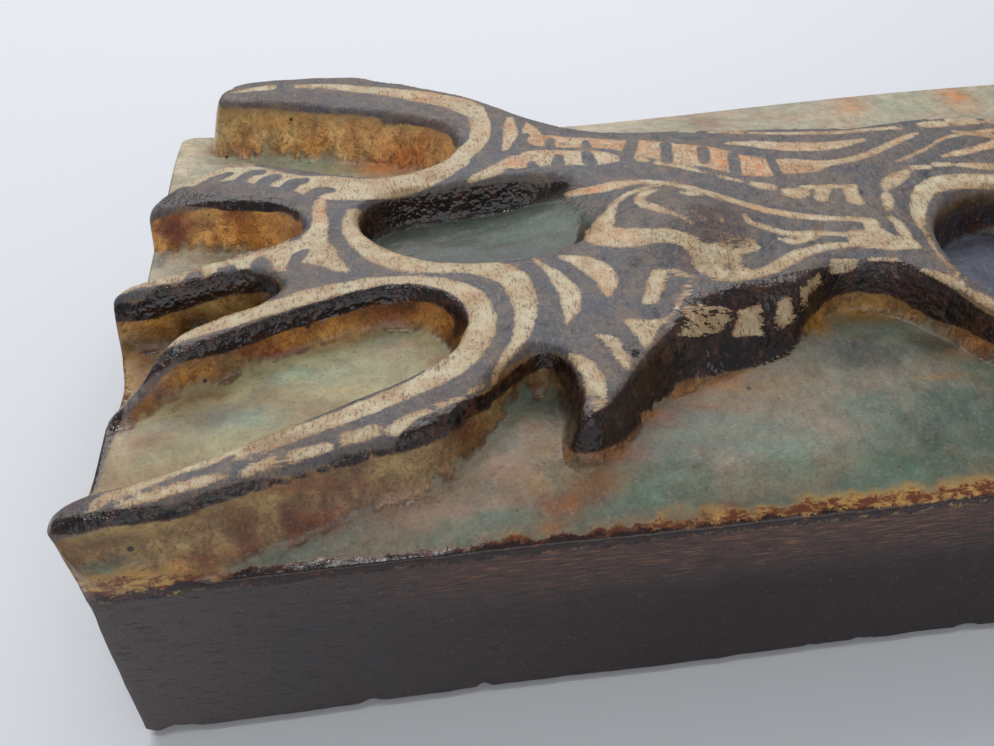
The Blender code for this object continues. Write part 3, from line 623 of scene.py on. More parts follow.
def signed_distance(u, v, outline):
    """The distance from each point to a closed outline, negative inside it."""
    nearest = np.full(u.shape, np.inf)
    inside = np.zeros(u.shape, bool)
    for (au, av), (bu, bv) in zip(outline, np.roll(outline, -1, axis=0)):
        du, dv = bu - au, bv - av
        along = np.clip(((u - au) * du + (v - av) * dv) / (du * du + dv * dv + 1e-12), 0, 1)
        nearest = np.minimum(nearest, (u - au - along * du) ** 2 + (v - av - along * dv) ** 2)
        if dv:
            crosses = (av > v) != (bv > v)
            inside ^= crosses & (u < au + du * (v - av) / dv)
    return np.where(inside, -1, 1) * np.sqrt(nearest)


def swell(u, v, centre, reach, height):
    """A smooth bump that fades out over its reach."""
    return height * np.exp(-(((u - centre[0]) / reach[0]) ** 2) - ((v - centre[1]) / reach[1]) ** 2)


def swells(u, v, table):
    """All of a table's bumps together."""
    return sum(swell(u, v, *each) for each in table.values())


def eased(value, low, high):
    """0 below low and 1 above high, with a smooth step between them."""
    t = np.clip((value - low) / (high - low), 0, 1)
    return t * t * (3 - 2 * t)


def cloud(a, b, reach, seed, layers=3):
    """Soft noise about 0: random values on a square lattice, blended smoothly.

    Each layer is half as high and half as wide as the one before it.
    """
    total = 0
    for layer in range(layers):
        table = np.random.default_rng(seed + layer).uniform(-1, 1, (64, 64))
        x, y = a * 2**layer / reach, b * 2**layer / reach
        i, j = np.floor(x).astype(int), np.floor(y).astype(int)
        p, q = eased(x - i, 0, 1), eased(y - j, 0, 1)
        i, j, k, m = i % 64, j % 64, (i + 1) % 64, (j + 1) % 64
        near = table[i, j] * (1 - p) + table[k, j] * p
        far = table[i, m] * (1 - p) + table[k, m] * p
        total = total + (near * (1 - q) + far * q) / 2**layer
    return total


# ---------------------------------------------------------------- the carved face


def all_hollows():
    """The front bay's outline, and each hollow: its outline, its floor's height and the run of its wall."""
    front = FRONT_EDGE + mirrored(PLAIN_FRONT_EDGE)
    front += [(LENGTH + OUTSIDE, 0), (LENGTH + OUTSIDE, -OUTSIDE), (-OUTSIDE, -OUTSIDE), (-OUTSIDE, 0)]
    back = BACK_EDGE + mirrored(BACK_EDGE[:-1])
    back += [(MIDDLE + BACK_OPENING, WIDTH + OUTSIDE), (MIDDLE - BACK_OPENING, WIDTH + OUTSIDE)]
    found = {
        "back_ground": (closed_curve(back), 1.0, 3.0),
        "left_third_gap": (closed_curve(THIRD_GAP), 2.2, 3.6),
        "well": (oval(WELL_CENTRE, WELL_RADII), 2.0, 2.6),
    }
    for name, outline, floor, run in (
        ("top_gap", TOP_GAP, 1.2, 4.0),
        ("second_gap", SECOND_GAP, 1.6, 2.6),
        ("palm", PALM, 4.2, 2.8),
        ("eye", EYE, 4.0, 2.6),
    ):
        found["left_" + name] = (closed_curve(outline), floor, run)
        found["right_" + name] = (closed_curve(mirrored(outline)), floor, run)
    return closed_curve(front), found


FRONT_OUTLINE, HOLLOWS = all_hollows()


def to_border(u, v):
    """The distance to the slab's nearest edge."""
    return np.minimum(np.minimum(u, LENGTH - u), np.minimum(v, WIDTH - v))


def skin_height(u, v):
    """The uncarved face: level, with a boss on each trunk, and eased at the ends and edges."""
    height = SKIN + swells(u, v, SKIN_SWELLS) + swells(LENGTH - u, v, SKIN_SWELLS)
    return height - EDGE_DROP * np.exp(-to_border(u, v) / EDGE_ROUNDING)


def scooped(skin, floor, distance, run):
    """The skin scooped down to a floor, by a wall that is rounded at its lip and at its foot."""
    rise = np.clip(distance / run + 0.5, 0, 1)
    wall = 1 - (1 - rise * rise * (3 - 2 * rise)) ** WALL_SWEEP
    return floor + (skin - floor) * wall


def carved_height(u, v):
    """The face's height above the slab: the lowest that the crowned skin and the hollows leave.

    Returns the height, the crowned skin above it, and the signed distance to the nearest outline.
    """
    lift = swells(u, v, FLOOR_SWELLS)
    roll = swells(u, v, WALL_ROLLS)
    bank = np.clip(v / FRONT_BANK, 0, 1)
    front_ground = (FRONT_GROUND * (2 - bank) + lift) * bank
    walls = [(signed_distance(u, v, FRONT_OUTLINE), front_ground, FRONT_RUN + roll)]
    for outline, floor, run in HOLLOWS.values():
        walls.append((signed_distance(u, v, outline), floor + lift, run + roll))
    edge = np.minimum.reduce([distance for distance, _, _ in walls])
    crowned = skin_height(u, v) + CROWN * (1 - np.exp(-np.maximum(edge, 0) / CROWN_REACH))
    height = np.minimum.reduce([scooped(crowned, floor, distance, run) for distance, floor, run in walls])
    return height, crowned, edge


def gathered_at_lips(u, v, edge, share=0.45, reach=2.5):
    """Slides the grid towards the hollows' outlines, where the carving turns fastest.

    A point at signed distance d moves back along the distance's slope by share * d * exp(-(d / reach)^2).
    """
    along = np.gradient(edge, axis=0) / np.gradient(u, axis=0)
    across = np.gradient(edge, axis=1) / np.gradient(v, axis=1)
    length = np.maximum(np.hypot(along, across), 0.5)
    move = -share * edge * np.exp(-((edge / reach) ** 2)) / length
    move *= eased(to_border(u, v), 0, 2)
    return u + move * along, v + move * across


def rounded_corners(u, v):
    """Pulls the grid's corners in to the slab's corner radius."""
    cu = np.clip(u, CORNER_RADIUS, LENGTH - CORNER_RADIUS)
    cv = np.clip(v, CORNER_RADIUS, WIDTH - CORNER_RADIUS)
    reach = np.hypot(u - cu, v - cv)
    pull = np.minimum(1, CORNER_RADIUS / np.maximum(reach, 1e-9))
    return cu + (u - cu) * pull, cv + (v - cv) * pull


def overhang(u, v):
    """How far the finger tips lean out over the left end."""
    tips = OVERHANGS.values()
    return sum(lean * np.exp(-(((v - at) / reach) ** 2) - u / OVERHANG_REACH) for at, reach, lean in tips)


def hand_marks(u, v, depth):
    """The hand's fine relief: knife facets, grain and pits on the skin, and ripples in the hollows' glaze.

    Each is its height times soft noise of its width.
    """
    on_skin = 1 - eased(depth, 0.5, 3)
    facets = FACETS[0] * cloud(u, v, FACETS[1], 11, 2)
    grain = GRAIN[0] * cloud(u, v, GRAIN[1], 21, 2) * (0.4 + 0.6 * on_skin)
    ripples = RIPPLES[0] * cloud(u * 0.5, v, RIPPLES[1], 31, 2) * (1 - on_skin)
    pits = -PITS[0] * eased(cloud(u, v, PITS[1], 41, 1), 0.62, 0.9) * (0.3 + 0.7 * on_skin)
    return facets + grain + ripples + pits


# ---------------------------------------------------------------- where the strokes lie


def painter_along(u):
    """The painter's place along the plaque: past its middle, the painter stands at the mirrored place."""
    return PAINTER[0] + (LENGTH - 2 * PAINTER[0]) * eased(u - MIDDLE, *PAINTER_WALK)


def on_level_skin(u, v, height):
    """Where the painter's line of sight through each place crosses the level skin."""
    share = (PAINT_LEVEL - height) / (PAINTER[2] - height)
    return u + (painter_along(u) - u) * share, v + (PAINTER[1] - v) * share


def stroke_distance(u, v, strokes):
    """The signed distance to the nearest stroke's edge, negative in the paint.

    It is FAR where no stroke is near. A stroke is a chain of cones: from the distance to its middle
    line, the half width at the nearest point is taken off.
    """
    nearest = np.full(u.shape, FAR)
    for stroke in strokes:
        line = open_curve(stroke)
        reach = line[:, 2].max() + FAR
        low, high = line[:, :2].min(axis=0) - reach, line[:, :2].max(axis=0) + reach
        near = (u > low[0]) & (u < high[0]) & (v > low[1]) & (v < high[1])
        pu, pv, best = u[near], v[near], nearest[near]
        for (au, av, aw), (bu, bv, bw) in zip(line[:-1], line[1:]):
            du, dv = bu - au, bv - av
            along = np.clip(((pu - au) * du + (pv - av) * dv) / (du * du + dv * dv + 1e-12), 0, 1)
            away = np.hypot(pu - au - along * du, pv - av - along * dv)
            best = np.minimum(best, away - aw - along * (bw - aw))
        nearest[near] = best
    return nearest


def on_both_halves(u, v, strokes, left_only=()):
    """The signed distance to strokes that are repeated, mirrored, on the right half."""
    left = stroke_distance(u, v, [*strokes, *left_only])
    right = stroke_distance(LENGTH - u, v, strokes)
    return np.where(u < MIDDLE, left, right)


# ---------------------------------------------------------------- glaze colours


def tint(red, green, blue):
    """A colour given from 0 to 255 on each channel as light values from 0 to 1."""
    share = np.array([red, green, blue]) / 255
    return np.where(share <= 0.04045, share / 12.92, ((share + 0.055) / 1.055) ** 2.4)


# Each hollow's glaze on both halves: its wall's two colours, then its floor's two
HOLLOW_GLAZES = {
    "front": (tint(140, 112, 70), tint(96, 62, 34), tint(100, 110, 94), tint(120, 110, 90)),
    "back_ground": (tint(150, 130, 100), tint(120, 78, 44), tint(170, 162, 136), tint(180, 158, 130)),
    "top_gap": (tint(214, 180, 122), tint(194, 138, 84), tint(168, 156, 124), tint(152, 156, 134)),
    "second_gap": (tint(236, 176, 100), tint(176, 108, 54), tint(146, 146, 132), tint(184, 170, 142)),
    "third_gap": (tint(130, 96, 48), tint(92, 60, 30), tint(122, 132, 112), tint(150, 104, 56)),
    "palm": (tint(142, 86, 36), tint(92, 48, 22), tint(160, 150, 106), tint(146, 120, 74)),
    "eye": (tint(24, 16, 12), tint(44, 28, 20), tint(68, 73, 66), tint(72, 77, 67)),
    "well": (tint(46, 45, 52), tint(34, 32, 37), tint(86, 89, 106), tint(78, 79, 94)),
}
# Hollows whose walls end in an even line
CLEAN_FOOTED = ("well", "left_eye", "right_eye")
# The glazes of GLAZE_SPOTS
GLAZE_TINTS = {
    "olive": tint(182, 156, 100),
    "mint": tint(158, 172, 142),
    "teal": tint(104, 128, 108),
    "mauve": tint(160, 126, 104),
    # Partly a pale glaze, partly painted highlight for where the glossy floors shine
    "pale": tint(206, 188, 158),
    "amber": tint(202, 144, 68),
    "rust": tint(142, 92, 54),
    "ochre_ground": tint(128, 96, 54),
    "umber": tint(150, 106, 40),
    "orange": tint(208, 132, 72),
    "red_brown": tint(116, 52, 26),
    "earth": tint(132, 104, 72),
    "celadon": tint(76, 90, 76),
    "deep_green": tint(60, 62, 50),
}


def blended(colours, other, share):
    """Colours moved by a share towards another colour."""
    share = np.clip(share, 0, 1)[..., None]
    return colours * (1 - share) + other * share


def spotted(u, v, spots):
    """The strength of all spots at each place and at its mirrored place, broken up by soft noise."""
    broken = 0.75 + 0.45 * cloud(u * 0.8, v, 2.6, 71, 3)
    total = sum(swell(u, v, *spot) + PLAIN_SPOT_SHARE * swell(LENGTH - u, v, *spot) for spot in spots)
    return np.clip(total * broken * SPOT_GAIN, 0, 1)


def hollow_colours(u, v, seen_u, seen_v):
    """The glaze's broad colours in the hollows, and how much of each place is wall.

    Walls and floors run between two colours each, by soft noise, and the spots lie over them. A wall
    ends half its run inside the hollow's outline.
    """
    colours = np.empty(u.shape + (3,))
    colours[:] = HOLLOW_GLAZES["front"][0]
    on_wall = np.zeros(u.shape)
    wall_mottle = eased(cloud(u, v * 0.6, 2.4, 51, 3), -0.5, 0.8)
    floor_mottle = eased(cloud(u * 0.6, v, 6.0, 61, 4), -0.35, 0.75)
    foot_wander = cloud(u, v, 1.7, 67, 3)
    roll = swells(u, v, WALL_ROLLS)
    hollows = {"front": (FRONT_OUTLINE, FRONT_GROUND, FRONT_RUN), **HOLLOWS}
    for name, (outline, _, run) in hollows.items():
        wall_a, wall_b, floor_a, floor_b = HOLLOW_GLAZES[name.replace("left_", "").replace("right_", "")]
        distance = signed_distance(u, v, outline)
        wall = wall_a + (wall_b - wall_a) * wall_mottle[..., None]
        ground = floor_a + (floor_b - floor_a) * floor_mottle[..., None]
        foot = distance + foot_wander * (0.2 if name in CLEAN_FOOTED else 0.7)
        wall_share = eased(foot / (run + roll) + 0.5, 0.03, 0.12)
        ground = blended(ground, wall, wall_share)
        inside = 1 - eased(distance, -0.3, 1.4)
        colours = blended(colours, ground, inside)
        on_wall = on_wall * (1 - inside) + wall_share * inside
    for name, spots in GLAZE_SPOTS.items():
        colours = blended(colours, GLAZE_TINTS[name], spotted(seen_u, seen_v, spots))
    return colours, on_wall


# ---------------------------------------------------------------- the plaque's mesh


def graded(stops):
    """Places along a line whose spacing changes: pairs of (end of the stretch, step within it)."""
    places = [0.0]
    for end, step in stops:
        count = max(1, round((end - places[-1]) / step))
        places.extend(np.linspace(places[-1], end, count + 1)[1:])
    return np.array(places)


def face_grid():
    """The face's grid in plan: fine over the left and middle, coarser over the plainer right end."""
    along = graded([
        (BORDER_STRIP, BORDER_STEP), (PLAIN_FROM, STEP_ALONG), (LENGTH - BORDER_STRIP, PLAIN_STEP),
        (LENGTH, PLAIN_BORDER_STEP),
    ])
    across = graded([
        (BORDER_STRIP, BORDER_STEP), (WIDTH - BORDER_STRIP, STEP_ACROSS), (WIDTH, BORDER_STEP),
    ])
    u, v = np.meshgrid(along, across, indexing="ij")
    edge = carved_height(u, v)[2]
    u, v = gathered_at_lips(u, v, edge)
    return rounded_corners(u, v)


def rim_order(columns, rows):
    """The grid's border points, once round, anticlockwise from the front left corner."""
    index = np.arange(columns * rows).reshape(columns, rows)
    return np.concatenate([index[:-1, 0], index[-1, :-1], index[:0:-1, -1], index[0, :0:-1]])


def slab_sides(rim, outward, around):
    """The rings down the slab's sides, from just below the rim to the back.

    Each ring stands out from the slab's plan by soft waves, and by the glaze's bead at the top. The
    foot is chamfered, and chipped in places.
    """
    base = np.column_stack([np.clip(rim[:, 0], 0, LENGTH), rim[:, 1]])
    lean = rim[:, :2] - base
    low = SLAB - OVERHANG_DEPTH
    rings = [(base + lean * (1 - share), rim[:, 2] + (low - rim[:, 2]) * share) for share in OVERHANG_RINGS]
    rings += [(base, np.full(len(rim), z)) for z in SIDE_RINGS]
    bead_high, bead_wide = BEAD
    chip_deep, chip_wide = CHIPS
    chips = np.maximum(0, cloud(around, around * 0, chip_wide, 91, 3) - 0.35)
    sides = []
    for plan, z in rings:
        wave = sum(high * cloud(around, z, wide, seed, 2) for high, wide, seed in SIDE_WAVES)
        bead = bead_high * np.exp(-(((z - SLAB + 0.6) / bead_wide) ** 2))
        bead = bead * (0.7 + 0.5 * cloud(around, z * 0, 3.0, 99, 2))
        bite = -chip_deep * chips * eased(5 - z, 0, 5)
        sides.append(np.column_stack([plan + outward * (wave + bead + bite)[:, None], z]))
    foot = base - outward * (FOOT_CHAMFER + 0.8 * chips)[:, None]
    sides.append(np.column_stack([foot, np.zeros(len(rim))]))
    return sides


def stored(mesh, name, kind, values):
    """Writes one value a vertex as an attribute."""
    field = {"FLOAT_VECTOR": "vector", "FLOAT_COLOR": "color", "FLOAT": "value"}[kind]
    attribute = mesh.attributes.new(name, kind, "POINT")
    attribute.data.foreach_set(field, np.ascontiguousarray(values, np.float32).ravel())


def steepness(u, v, height):
    """The face's unit normals: the cross product of its slopes along and across the grid."""
    across_u = [np.gradient(each, axis=0) for each in (u, v, height)]
    across_v = [np.gradient(each, axis=1) for each in (u, v, height)]
    normal = np.cross(np.stack(across_u, -1), np.stack(across_v, -1))
    return normal / np.maximum(np.linalg.norm(normal, axis=-1, keepdims=True), 1e-9)


def painted(u, v, height, skin):
    """Where the painter sees each place of the face, and every stroke's signed distance there.

    The painter's view places the strokes wherever the clay faces the painter, and the plan does elsewhere.
    """
    normal = steepness(u, v, height)
    eye = np.stack([painter_along(u) - u, PAINTER[1] - v, PAINTER[2] - height], -1)
    facing = (normal * eye).sum(-1) / np.linalg.norm(eye, axis=-1)
    seen = eased(facing, 0.0, 0.12)
    su, sv = on_level_skin(u, v, height)
    pu, pv = u + (su - u) * seen, v + (sv - v) * seen
    depth = skin - height
    cream = on_both_halves(pu, pv, CREAM_FINGERS + CREAM_TRUNK + CREAM_BRANCH, CREAM_SPUR)
    cream = np.minimum(cream, stroke_distance(pu, pv, CREAM_MIDDLE))
    ticks = on_both_halves(pu, pv, TICKS_FINGERS + TICKS_BRANCH)
    bands = on_both_halves(pu, pv, BANDS_FINGERS, BANDS_SPUR + BANDS_THIRD_GAP)
    flank = closed_curve(BLACK_FLANK, 3)
    black = np.minimum(signed_distance(pu, pv, flank), signed_distance(LENGTH - pu, pv, flank))
    patches = [np.array(patch, float) for patch in CREAM_PATCHES]
    beside = [signed_distance(side, pv, patch) for side in (pu, LENGTH - pu) for patch in patches]
    cream = np.minimum.reduce([cream, *beside])
    plain_foot = np.where(u < MIDDLE, -FAR, depth - PLAIN_FLANK_DEPTH)
    bands, black = (np.clip(np.maximum(each, plain_foot), -FAR, FAR) for each in (bands, black))
    return pu, pv, np.stack([cream, ticks, bands], -1), black


def joined_faces(columns, rows, order, ring_count):
    """The mesh's faces: the grid's, walls of quads from ring to ring, and one flat face at the back."""
    index = np.arange(columns * rows).reshape(columns, rows)
    quads = np.stack([index[:-1, :-1], index[1:, :-1], index[1:, 1:], index[:-1, 1:]], -1).reshape(-1, 4)
    walls = []
    upper = order
    for ring in range(ring_count):
        lower = columns * rows + ring * len(order) + np.arange(len(order))
        walls.append(np.stack([upper, lower, np.roll(lower, -1), np.roll(upper, -1)], -1))
        upper = lower
    return [*quads.tolist(), *np.vstack(walls).tolist(), upper[::-1].tolist()]


def plaque_mesh():
    """The whole plaque as one closed mesh: the carved face, the clay sides and the flat back."""
    u, v = face_grid()
    height, skin, _ = carved_height(u, v)
    depth = skin - height
    border = to_border(u, v)
    height = height + hand_marks(u, v, depth) * eased(border, 0, 1.5)
    seen_u, seen_v, strokes, black = painted(u, v, height, skin)
    colours, on_wall = hollow_colours(u, v, seen_u, seen_v)
    face = np.stack([u - overhang(u, v), v, SLAB + height], -1).reshape(-1, 3)

    order = rim_order(*u.shape)
    rim = face[order]
    step = np.roll(rim, -1, axis=0)[:, :2] - np.roll(rim, 1, axis=0)[:, :2]
    outward = np.column_stack([step[:, 1], -step[:, 0]])
    outward /= np.maximum(np.linalg.norm(outward, axis=1, keepdims=True), 1e-9)
    around = np.concatenate([[0], np.cumsum(np.linalg.norm(np.diff(rim[:, :2], axis=0), axis=1))])
    rings = slab_sides(rim, outward, around)
    places = np.vstack([face, *rings]) - (MIDDLE, WIDTH / 2, 0)

    mesh = bpy.data.meshes.new("carved_plaque")
    mesh.from_pydata((places * MM).tolist(), [], joined_faces(*u.shape, order, len(rings)))
    mesh.update()

    def over_sides(values):
        """Carries the rim's values on down the sides."""
        flat = values.reshape(u.size, -1)
        return np.vstack([flat, *[flat[order]] * len(rings)])

    peach, dry, dusky, bluish = (
        spotted(seen_u, seen_v, spots) for spots in (PEACH_SPOTS, DRY_SPOTS, DUSKY_SPOTS, BLUISH_SPOTS)
    )
    below_line = -(border + np.maximum(0, height)).reshape(-1)
    falls = [np.minimum(SLAB, rim[:, 2]) - ring[:, 2] for ring in rings]
    stored(mesh, "strokes", "FLOAT_VECTOR", over_sides(strokes))
    stored(mesh, "finish", "FLOAT_VECTOR", over_sides(np.stack([skin - height, black, peach], -1)))
    stored(mesh, "dusky", "FLOAT", over_sides(dusky - bluish))
    stored(mesh, "dry", "FLOAT", over_sides(dry))
    stored(mesh, "line", "FLOAT", np.concatenate([below_line, *falls]))
    stored(mesh, "glaze", "FLOAT_COLOR", over_sides(np.concatenate([colours, on_wall[..., None]], -1)))
    return mesh


# ---------------------------------------------------------------- the finish

# The Mix node's sockets for numbers and for colours: the first value, the second and the result
MIX_SOCKETS = {"FLOAT": (2, 3, 0), "RGBA": (6, 7, 2)}


class Finish:
    """A material's nodes, put together with short calls. Places are in millimetres."""

    def __init__(self, name):
        self.material = bpy.data.materials.new(name)
        self.material.use_nodes = True
        self.tree = self.material.node_tree
        self.shader = self.tree.nodes["Principled BSDF"]
        coordinates = self.node("ShaderNodeTexCoord").outputs["Object"]
        scale = self.node("ShaderNodeVectorMath", operation="SCALE")
        scale.inputs["Scale"].default_value = 1 / MM
        self.tree.links.new(coordinates, scale.inputs[0])
        self.place = scale.outputs[0]

    def node(self, kind, **settings):
        """A new node with its settings."""
        made = self.tree.nodes.new(kind)
        for name, value in settings.items():
            setattr(made, name, value)
        return made

    def put(self, socket, value):
        """Links a socket's value, or sets it; a colour of three numbers gets its fourth."""
        if isinstance(value, bpy.types.NodeSocket):
            self.tree.links.new(value, socket)
        elif socket.type == "RGBA":
            socket.default_value = (*value, 1.0)
        else:
            socket.default_value = value

    def maths(self, operation, *values):
        """One sum, such as the larger or the smaller of two values."""
        made = self.node("ShaderNodeMath", operation=operation)
        for socket, value in zip(made.inputs, values):
            self.put(socket, value)
        return made.outputs[0]

    def times(self, *values):
        """All values multiplied together."""
        return reduce(partial(self.maths, "MULTIPLY"), values)

    def plus(self, *values):
        """All values added together."""
        return reduce(partial(self.maths, "ADD"), values)

    def scaled(self, vector, share):
        """A vector, or a colour, times a share."""
        made = self.node("ShaderNodeVectorMath", operation="SCALE")
        self.tree.links.new(vector, made.inputs[0])
        self.tree.links.new(share, made.inputs["Scale"])
        return made.outputs[0]

    def attribute(self, name, output="Vector"):
        """What the mesh stores under a name."""
        return self.node("ShaderNodeAttribute", attribute_name=name).outputs[output]

    def split(self, vector):
        """The three parts of a vector."""
        made = self.node("ShaderNodeSeparateXYZ")
        self.tree.links.new(vector, made.inputs[0])
        return made.outputs

    def noise(self, reach, detail=2.0, roughness=0.5, stretch=(1, 1, 1), turn=0.0, distortion=0.0):
        """Noise about 0, mostly from -0.5 to 0.5, whose lumps are reach millimetres across.

        A stretch over 1 narrows the lumps along its axis, and they lie turned about the upright axis.
        """
        mapping = self.node("ShaderNodeMapping")
        mapping.inputs["Rotation"].default_value = (0, 0, radians(turn))
        mapping.inputs["Scale"].default_value = [1 / (reach * each) for each in stretch]
        self.tree.links.new(self.place, mapping.inputs["Vector"])
        made = self.node("ShaderNodeTexNoise")
        for name, value in (
            ("Scale", 1.0), ("Detail", detail), ("Roughness", roughness), ("Distortion", distortion),
        ):
            made.inputs[name].default_value = value
        self.tree.links.new(mapping.outputs[0], made.inputs["Vector"])
        return self.times(self.maths("SUBTRACT", made.outputs[0], 0.5), 2.2)

    def specks(self, apart, size):
        """1 inside round specks of a size, strewn at random about so far apart, and 0 outside them."""
        spread = self.node("ShaderNodeTexVoronoi")
        spread.inputs["Scale"].default_value = 1 / apart
        self.tree.links.new(self.place, spread.inputs["Vector"])
        return self.ease(spread.outputs["Distance"], size / apart, 0.6 * size / apart)

    def ease(self, value, low, high, bottom=0.0, top=1.0):
        """A smooth step from bottom at low to top at high; low may be the larger."""
        made = self.node("ShaderNodeMapRange", interpolation_type="SMOOTHSTEP")
        for name, each in (
            ("Value", value), ("From Min", low), ("From Max", high), ("To Min", bottom), ("To Max", top),
        ):
            self.put(made.inputs[name], each)
        return made.outputs[0]

    def between(self, kind, share, first, second):
        """The first value, moved by a share towards the second."""
        made = self.node("ShaderNodeMix", data_type=kind)
        from_socket, to_socket, result = MIX_SOCKETS[kind]
        for socket, value in ((0, share), (from_socket, first), (to_socket, second)):
            self.put(made.inputs[socket], value)
        return made.outputs[result]

    def mix(self, share, first, second):
        """A colour between two colours."""
        return self.between("RGBA", share, first, second)

    def blend(self, share, first, second):
        """A number between two numbers."""
        return self.between("FLOAT", share, first, second)

    def stained(self, colour, stains, within=None):
        """A colour with stains mixed in, one over another.

        A stain has a field, the value where it starts, the value where it is full, its share there and
        its colour. All of them can be kept within a mask.
        """
        for field, start, full, share, stain in stains:
            mask = self.ease(field, start, full, 0.0, share)
            if within is not None:
                mask = self.times(within, mask)
            colour = self.mix(mask, colour, tint(*stain))
        return colour


def read_surface(f):
    """Reads what the mesh stores at each place, and makes the noises that the layers share."""
    f.cream, f.ticks, f.bands = f.split(f.attribute("strokes"))
    f.depth, f.black, f.peach = f.split(f.attribute("finish"))
    f.dusky, f.dry, f.line = [f.attribute(name, "Fac") for name in ("dusky", "dry", "line")]
    f.wall = f.attribute("glaze", "Alpha")
    f.along, f.across, _ = f.split(f.place)
    f.ink_edge = f.maths("MINIMUM", f.bands, f.black)
    f.waver = f.noise(1.9, 2.0)
    f.fray = f.noise(0.40, 3.0, 0.6)
    f.patchy = f.noise(5.0, 4.0, 0.6)
    f.blotch = f.noise(2.4, 4.0, 0.68, distortion=0.5)
    f.grain = f.noise(0.28, 2.0, 0.65)
    f.rusty = f.noise(0.9, 3.0, 0.7, stretch=(2.0, 1, 1), distortion=0.6)
    f.crease = f.maths("ABSOLUTE", f.noise(2.2, 4.0, 0.62, distortion=1.0))
    falling = f.noise(0.60, 3.0, 0.6, stretch=(0.5, 1.7, 1.3), turn=-28, distortion=0.8)
    rising = f.noise(0.56, 3.0, 0.6, stretch=(0.5, 1.7, 1.3), turn=48, distortion=0.8)
    f.hatch = f.blend(f.ease(f.patchy, -0.12, 0.12), falling, rising)


def mask_strokes(f):
    """Where each layer shows, from 0 to 1: its signed distance with ragged noise added, stepped at 0.

    The cream breaks into streaks where the brush was dry. The bands stay near the lips and on the
    walls, and the cream and its ticks on the skin and the black flank.
    """
    ragged = f.plus(f.times(f.waver, 0.35), f.times(f.hatch, 0.22), f.times(f.fray, 0.25))
    drag = f.noise(0.55, 3.0, 0.62, stretch=(5.0, 0.8, 0.8), turn=-8, distortion=0.7)
    streaks = f.times(f.dry, f.times(drag, 4.0))
    near_lip = f.maths("MAXIMUM", f.ease(f.depth, 4.5, 3.5), f.ease(f.wall, 0.2, 0.6))
    f.skin = f.ease(f.plus(f.depth, ragged), 1.1, 0.6)
    f.flank = f.ease(f.plus(f.black, ragged), 0.22, -0.22)
    f.band = f.times(f.ease(f.plus(f.bands, ragged), 0.22, -0.22), near_lip)
    open_skin = f.ease(f.maths("SUBTRACT", f.depth, f.times(f.flank, 8.0)), 1.9, 1.3)
    brushed = f.plus(f.maths("MAXIMUM", f.cream, f.blend(f.dry, -0.8, 0.2)), ragged, streaks)
    f.light = f.times(f.ease(brushed, 0.20, -0.20), open_skin)
    f.tick = f.times(f.ease(f.plus(f.ticks, ragged), 0.20, -0.20), open_skin)
    f.bare = f.ease(f.plus(f.line, f.times(f.patchy, 1.4)), 0.55, 0.95)


def hollow_glaze(f):
    """The mesh's broad glaze colours: clouded, veined on the walls, darker at their feet, and specked."""
    floor = f.maths("SUBTRACT", 1.0, f.wall)
    cloud_on_floor = f.ease(f.blotch, -0.4, 0.4, 1.2, 0.82)
    cloud_on_wall = f.ease(f.blotch, -0.4, 0.4, 1.45, 0.66)
    glaze = f.scaled(f.attribute("glaze", "Color"), f.blend(f.wall, cloud_on_floor, cloud_on_wall))
    glaze = f.stained(glaze, [
        (f.waver, 0.05, 0.5, 0.25, (132, 98, 70)),
        (f.patchy, 0.05, 0.5, 0.25, (98, 118, 102)),
    ], within=floor)
    glaze = f.stained(glaze, [(f.crease, 0.06, 0.0, 0.75, (100, 50, 20))], within=f.wall)
    foot = f.times(f.ease(f.wall, 0.05, 0.5), f.ease(f.wall, 1.0, 0.9))
    foot = f.times(foot, f.ease(f.depth, 3.0, 5.0), f.ease(f.rusty, -0.25, 0.1))
    glaze = f.scaled(glaze, f.blend(foot, 1.0, 0.6))
    glaze = f.stained(glaze, [
        (f.fray, 0.10, 0.45, 0.40, (62, 52, 40)),
        (f.fray, -0.15, -0.5, 0.25, (190, 180, 150)),
    ])
    glaze = f.mix(f.specks(8.0, 0.42), glaze, tint(50, 40, 32))
    return f.stained(glaze, [(f.patchy, -0.1, 0.2, 0.7, (100, 58, 36))], within=f.specks(1.9, 0.24))


def slate_paint(f):
    """The slate ground of the skin: grey to brown, dusky or bluish in places, and scratched."""
    slate = f.mix(f.ease(f.patchy, -0.35, 0.35), tint(82, 81, 85), tint(110, 95, 84))
    return f.stained(slate, [
        (f.dusky, 0.0, 1.0, 0.85, (92, 70, 64)),
        (f.dusky, 0.0, -1.0, 0.8, (80, 84, 94)),
        (f.blotch, -0.02, 0.4, 0.6, (130, 108, 90)),
        (f.blotch, 0.02, -0.4, 0.6, (62, 60, 68)),
        (f.hatch, 0.10, 0.4, 0.5, (150, 130, 110)),
        (f.fray, 0.05, 0.4, 0.6, (50, 42, 42)),
        (f.hatch, -0.12, -0.4, 0.5, (52, 50, 56)),
    ])


